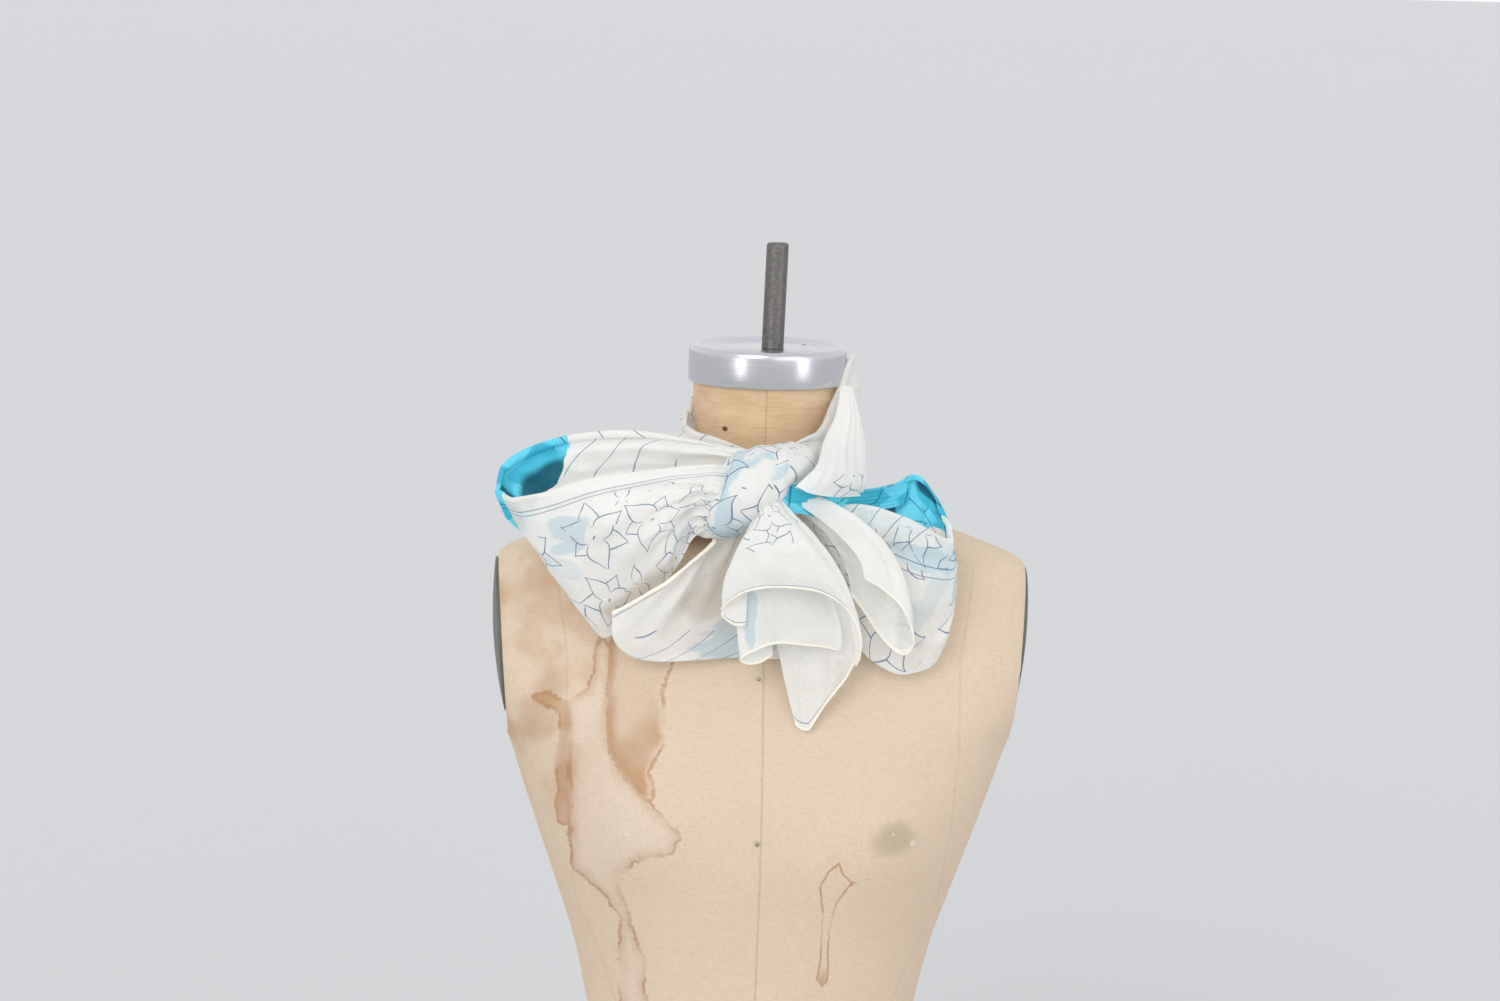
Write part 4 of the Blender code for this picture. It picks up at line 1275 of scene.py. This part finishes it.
def papier_mache():
    """Varnished papier-mache: warm brown, mottled, with faint lines that run round, a joint down
    the front and a small nail hole, a dent with the shade inside it painted dark."""
    graph, x, y, z = material_graph("papier_mache_neck")
    blotch = graph.noise((x, y, z * 1.8), 38, 4.0, 0.6)
    streak = graph.noise((x, y, z * 7), 60, 3.0)
    joint = graph.near(x + 0.0028, 0.0005)
    # Painted shade: the nail hole is a dark spot for the shade inside it, as well as a dent
    shaded_hole = graph.ease(((x + 0.0315) ** 2 + (z - 0.703) ** 2) ** 0.5, 0.0022, 0.0014)
    shaded_hole = shaded_hole * graph.ease(y, 0.0, -0.02)
    cover = graph.layers(
        graph.mix(blotch, (200, 162, 124), (238, 210, 174)),
        (graph.ease(streak, 0.52, 0.64) * 0.35, (200, 158, 114)),
        (graph.highest(joint * 0.25, shaded_hole * 0.9), (70, 46, 28)),
    )
    face = graph.principled(
        Base_Color=cover,
        Roughness=0.48,
        Normal=graph.bump(blotch * 0.8 + streak * 0.3 - shaded_hole, 0.001, 0.5),
        Specular_IOR_Level=0.4,
    )
    return graph.out(face)


def turned_aluminium():
    """Turned aluminium: fine rings round the cap, and a small screw hole in its top, painted as a
    dark spot for the shade inside it.
    """
    graph, x, y, z = material_graph("turned_aluminium")
    rings = graph.noise(((x * x + y * y) ** 0.5, z, 0.0), 1500, 2.0)
    smear = graph.noise((x, y, z), 50, 3.0)
    # Painted shade: the screw hole is only a dark spot in the colour, for the shade inside it
    shaded_hole = graph.ease(((x - 0.028) ** 2 + (y - 0.019) ** 2) ** 0.5, 0.0022, 0.0015)
    cover = graph.mix(rings, (196, 196, 200), (222, 222, 225))
    face = graph.principled(
        Base_Color=graph.layers(cover, (shaded_hole * 0.85, (60, 58, 56))),
        Metallic=1.0,
        Roughness=0.16 + rings * 0.08 + smear * 0.08,
        Normal=graph.bump(rings, 0.0002, 0.25),
        Anisotropic=0.5,
    )
    return graph.out(face)


def rough_steel():
    """A dark drawn bar with a rough skin."""
    graph, x, y, z = material_graph("rough_steel")
    grain = graph.noise((x, y, z), 420, 3.0, 0.7)
    scar = graph.noise((x, y, z * 0.25), 260, 2.0)
    face = graph.principled(
        Base_Color=graph.mix(grain, (70, 67, 66), (150, 147, 143)),
        Metallic=0.85,
        Roughness=0.34 + scar * 0.25,
        Normal=graph.bump(grain * 0.6 + scar * 0.5, 0.0006, 0.6),
    )
    return graph.out(face)


def plate_paint():
    """Worn dark paint on the armhole plates."""
    graph, x, y, z = material_graph("worn_plate_paint")
    wear = graph.noise((x, y, z), 70, 4.0, 0.6)
    face = graph.principled(
        Base_Color=graph.mix(wear, (84, 88, 82), (126, 128, 120)),
        Metallic=0.2,
        Roughness=0.42 + wear * 0.2,
        Normal=graph.bump(wear, 0.0006, 0.3),
    )
    return graph.out(face)


def plain(name, tone, **sockets):
    """A material of one colour all over."""
    graph = Graph(bpy.data.materials.new(name))
    return graph.out(graph.principled(Base_Color=tone, **sockets))


def make_torso():
    """The torso with its stain outlines stored on it."""
    points = torso_points(300, 320)[:, ::-1]
    x, y, levels = np.moveaxis(points, -1, 0)
    front = y < 0
    fields = {
        name: np.where(front, outline_field(x, levels, outline), UNSTAINED)
        for name, outline in STAINS.items()
    }
    half_width = np.abs(x).max(axis=1, keepdims=True)
    share = np.where(front, np.interp(levels, *PRINCESS_FRONT), np.interp(levels, *PRINCESS_BACK))
    fields["princess"] = np.abs(x) - share * half_width
    piece, _ = add_surface(
        "linen_torso", points, closed_round=True, capped=True, fields=fields, round_off=40
    )
    finish_piece(piece, linen(), "linen", "torso")


def make_neck():
    """The neck: an oval at each height, very slightly uneven as pasted paper is."""
    height, half_width, half_depth = through(NECK, 70).T[..., None]
    turn = around(180)
    uneven_skin = 0.25 * np.sin(3 * turn + height / 9) + 0.18 * np.sin(7 * turn - height / 6)
    x = (half_width + uneven_skin) * np.cos(turn)
    y = (half_depth + uneven_skin) * np.sin(turn)
    points = np.stack([x, y, np.broadcast_to(height, x.shape)], axis=-1)[:, ::-1]
    piece, _ = add_surface("paper_neck", points, closed_round=True, capped=True, round_off=40)
    finish_piece(piece, papier_mache(), "papier_mache", "neck")


def make_cap():
    """The neck cap: a drum with a rounded foot and rim, a dished top and a low ring on it."""
    foot = [(1.4, 0.0), (0.5, 0.5), (0.0, 1.6)]
    rim = [(0.0, 5.5), (0.15, 3.6), (0.8, 1.6), (2.0, 0.4), (3.6, 0.0), (5.6, 0.3)]
    rim += [(7.2, 1.4), (9.0, 2.1)]
    ring = [(36, 2.2), (35, 1.7), (33.6, 1.7), (32.6, 2.2), (13, 2.2), (2, 2.2)]
    profile = [(CAP_RADIUS - inward, CAP_FOOT + up) for inward, up in foot]
    profile += [(CAP_RADIUS - inward, CAP_TOP - down) for inward, down in rim]
    profile += [(radius, CAP_TOP - down) for radius, down in ring]
    piece = turned("turned_cap", profile, 160)
    finish_piece(piece, turned_aluminium(), "aluminium", "neck_cap")


def make_rod():
    """The rod: a round bar with a chamfered end and a slightly uneven skin, leaning right."""
    heights = np.linspace(ROD_FOOT, ROD_TOP - 1.5, 60)
    profile = [(ROD_RADIUS + 0.06 * np.sin(height * 1.7), height) for height in heights]
    profile += [(ROD_RADIUS - 0.5, ROD_TOP - 0.7), (ROD_RADIUS - 1.5, ROD_TOP), (2, ROD_TOP)]
    piece = turned("steel_rod", profile, 48, ROD_PLACE, ROD_LEAN)
    finish_piece(piece, rough_steel(), "steel", "rod")


def make_pin(name, x, y, z):
    """A pin's head, a low dome that faces the front."""
    arc = np.linspace(0.05, pi / 2, 8)[:, None]
    radius = PIN_RADIUS * np.sin(arc)
    front = y - PIN_DEPTH * np.cos(arc)
    turn = around(20)
    shape = (x + radius * np.cos(turn), front + 0 * turn, z + radius * np.sin(turn))
    piece, _ = add_surface(name, np.stack(shape, axis=-1), closed_round=True, capped=True)
    finish_piece(piece, plain("pin_nickel", (150, 150, 148), Metallic=1.0, Roughness=0.3), "steel")


def add_lamp(name, kind, power, place, target, **settings):
    """A lamp of a kind at a place, turned to its target."""
    data = bpy.data.lights.new(name, kind)
    data.energy = power
    for setting, value in settings.items():
        setattr(data, setting, value)
    lamp = add_object(name, data)
    lamp.location = place
    lamp.rotation_euler = (Vector(target) - lamp.location).to_track_quat("-Z", "Y").to_euler()


def make_stage():
    """A wide pale floor, and soft light from the front, both sides and above."""
    sides = ((-1, -1), (1, -1), (1, 1), (-1, 1))
    mesh = bpy.data.meshes.new("floor")
    corners = [(x * FLOOR_HALF, y * FLOOR_HALF, FLOOR_LEVEL) for x, y in sides]
    mesh.from_pydata(corners, [], [range(4)])
    mesh.materials.append(plain("pale_floor", (212, 212, 213), Roughness=0.9))
    floor = add_object("floor", mesh)
    world = bpy.data.worlds.new("studio")
    graph = Graph(world)
    ahead = graph.parts(graph.node("TexCoord", {}, {}).outputs["Generated"])[1]
    spread = {"Value": ahead, "From Min": -1, "To Min": SKY_DIM, "To Max": SKY_BRIGHT}
    strength = graph.node("MapRange", {}, spread).outputs[0]
    sky = graph.node("Background", {}, {"Color": SKY_COLOUR, "Strength": strength})
    graph.out(sky.outputs[0], "World")
    bpy.context.scene.world = world
    softbox = {"shape": "RECTANGLE", "size": SOFTBOX_WIDTH, "size_y": SOFTBOX_HEIGHT}
    softbox["spread"] = radians(SOFTBOX_SPREAD)
    for name, where in SOFTBOXES.items():
        add_lamp(name, "AREA", SOFTBOX_POWER, where, SOFTBOX_TARGET, **softbox)
    for lamp in LAMPS:
        angle = radians(lamp.angle)
        add_lamp(lamp.name, "SUN", lamp.power, lamp.place, (0, 0, 0), angle=angle)


def make_camera():
    """The camera at the photograph's viewing angle, from its place, pitch, yaw and roll."""
    pitch, yaw, roll = (radians(angle) for angle in (CAMERA_PITCH, CAMERA_YAW, CAMERA_ROLL))
    back = Vector((np.sin(yaw) * np.cos(pitch), -np.cos(yaw) * np.cos(pitch), -np.sin(pitch)))
    right = (-back).cross(Vector((0, 0, 1))).normalized()
    up = right.cross(-back)
    turned_right = right * np.cos(roll) + up * np.sin(roll)
    turned_up = up * np.cos(roll) - right * np.sin(roll)
    data = bpy.data.cameras.new("camera")
    data.lens = CAMERA_LENS
    data.sensor_width = CAMERA_SENSOR
    data.clip_end = CAMERA_REACH
    camera = add_object("camera", data)
    turn = Matrix((turned_right, turned_up, back)).transposed().to_4x4()
    camera.matrix_world = Matrix.Translation(Vector(CAMERA_PLACE) * MM) @ turn
    bpy.context.scene.camera = camera


def make_form(nodes):
    """The dress form's pieces. The plates keep their solids and get worn paint."""
    make_torso()
    make_neck()
    make_cap()
    make_rod()
    paint = plate_paint()
    for name in ("armhole_plate_left", "armhole_plate_right"):
        nodes[name].data.materials.clear()
        nodes[name].data.materials.append(paint)
    make_pin("pin_upper", -5, -91.5, 531)
    make_pin("pin_lower", -4, -113.5, 416)


def make_scarf():
    """The scarf's knot and its stretches."""
    silk_material = silk()
    hem_material = hem_silk()
    make_knot(silk_material)
    for band in BANDS:
        make_band(band, silk_material)
    for sheet in SHEETS:
        make_sheet(sheet, silk_material, hem_material)


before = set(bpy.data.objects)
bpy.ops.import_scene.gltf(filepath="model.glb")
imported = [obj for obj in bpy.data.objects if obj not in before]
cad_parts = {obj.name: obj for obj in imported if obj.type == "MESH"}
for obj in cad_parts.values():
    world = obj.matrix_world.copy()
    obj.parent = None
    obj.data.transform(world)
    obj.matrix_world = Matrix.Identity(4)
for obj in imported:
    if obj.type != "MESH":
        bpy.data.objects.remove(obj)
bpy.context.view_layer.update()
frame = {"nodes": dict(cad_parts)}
bpy.context.scene.view_settings.view_transform = "Standard"
make_camera()
make_stage()
make_form(frame["nodes"])
make_scarf()
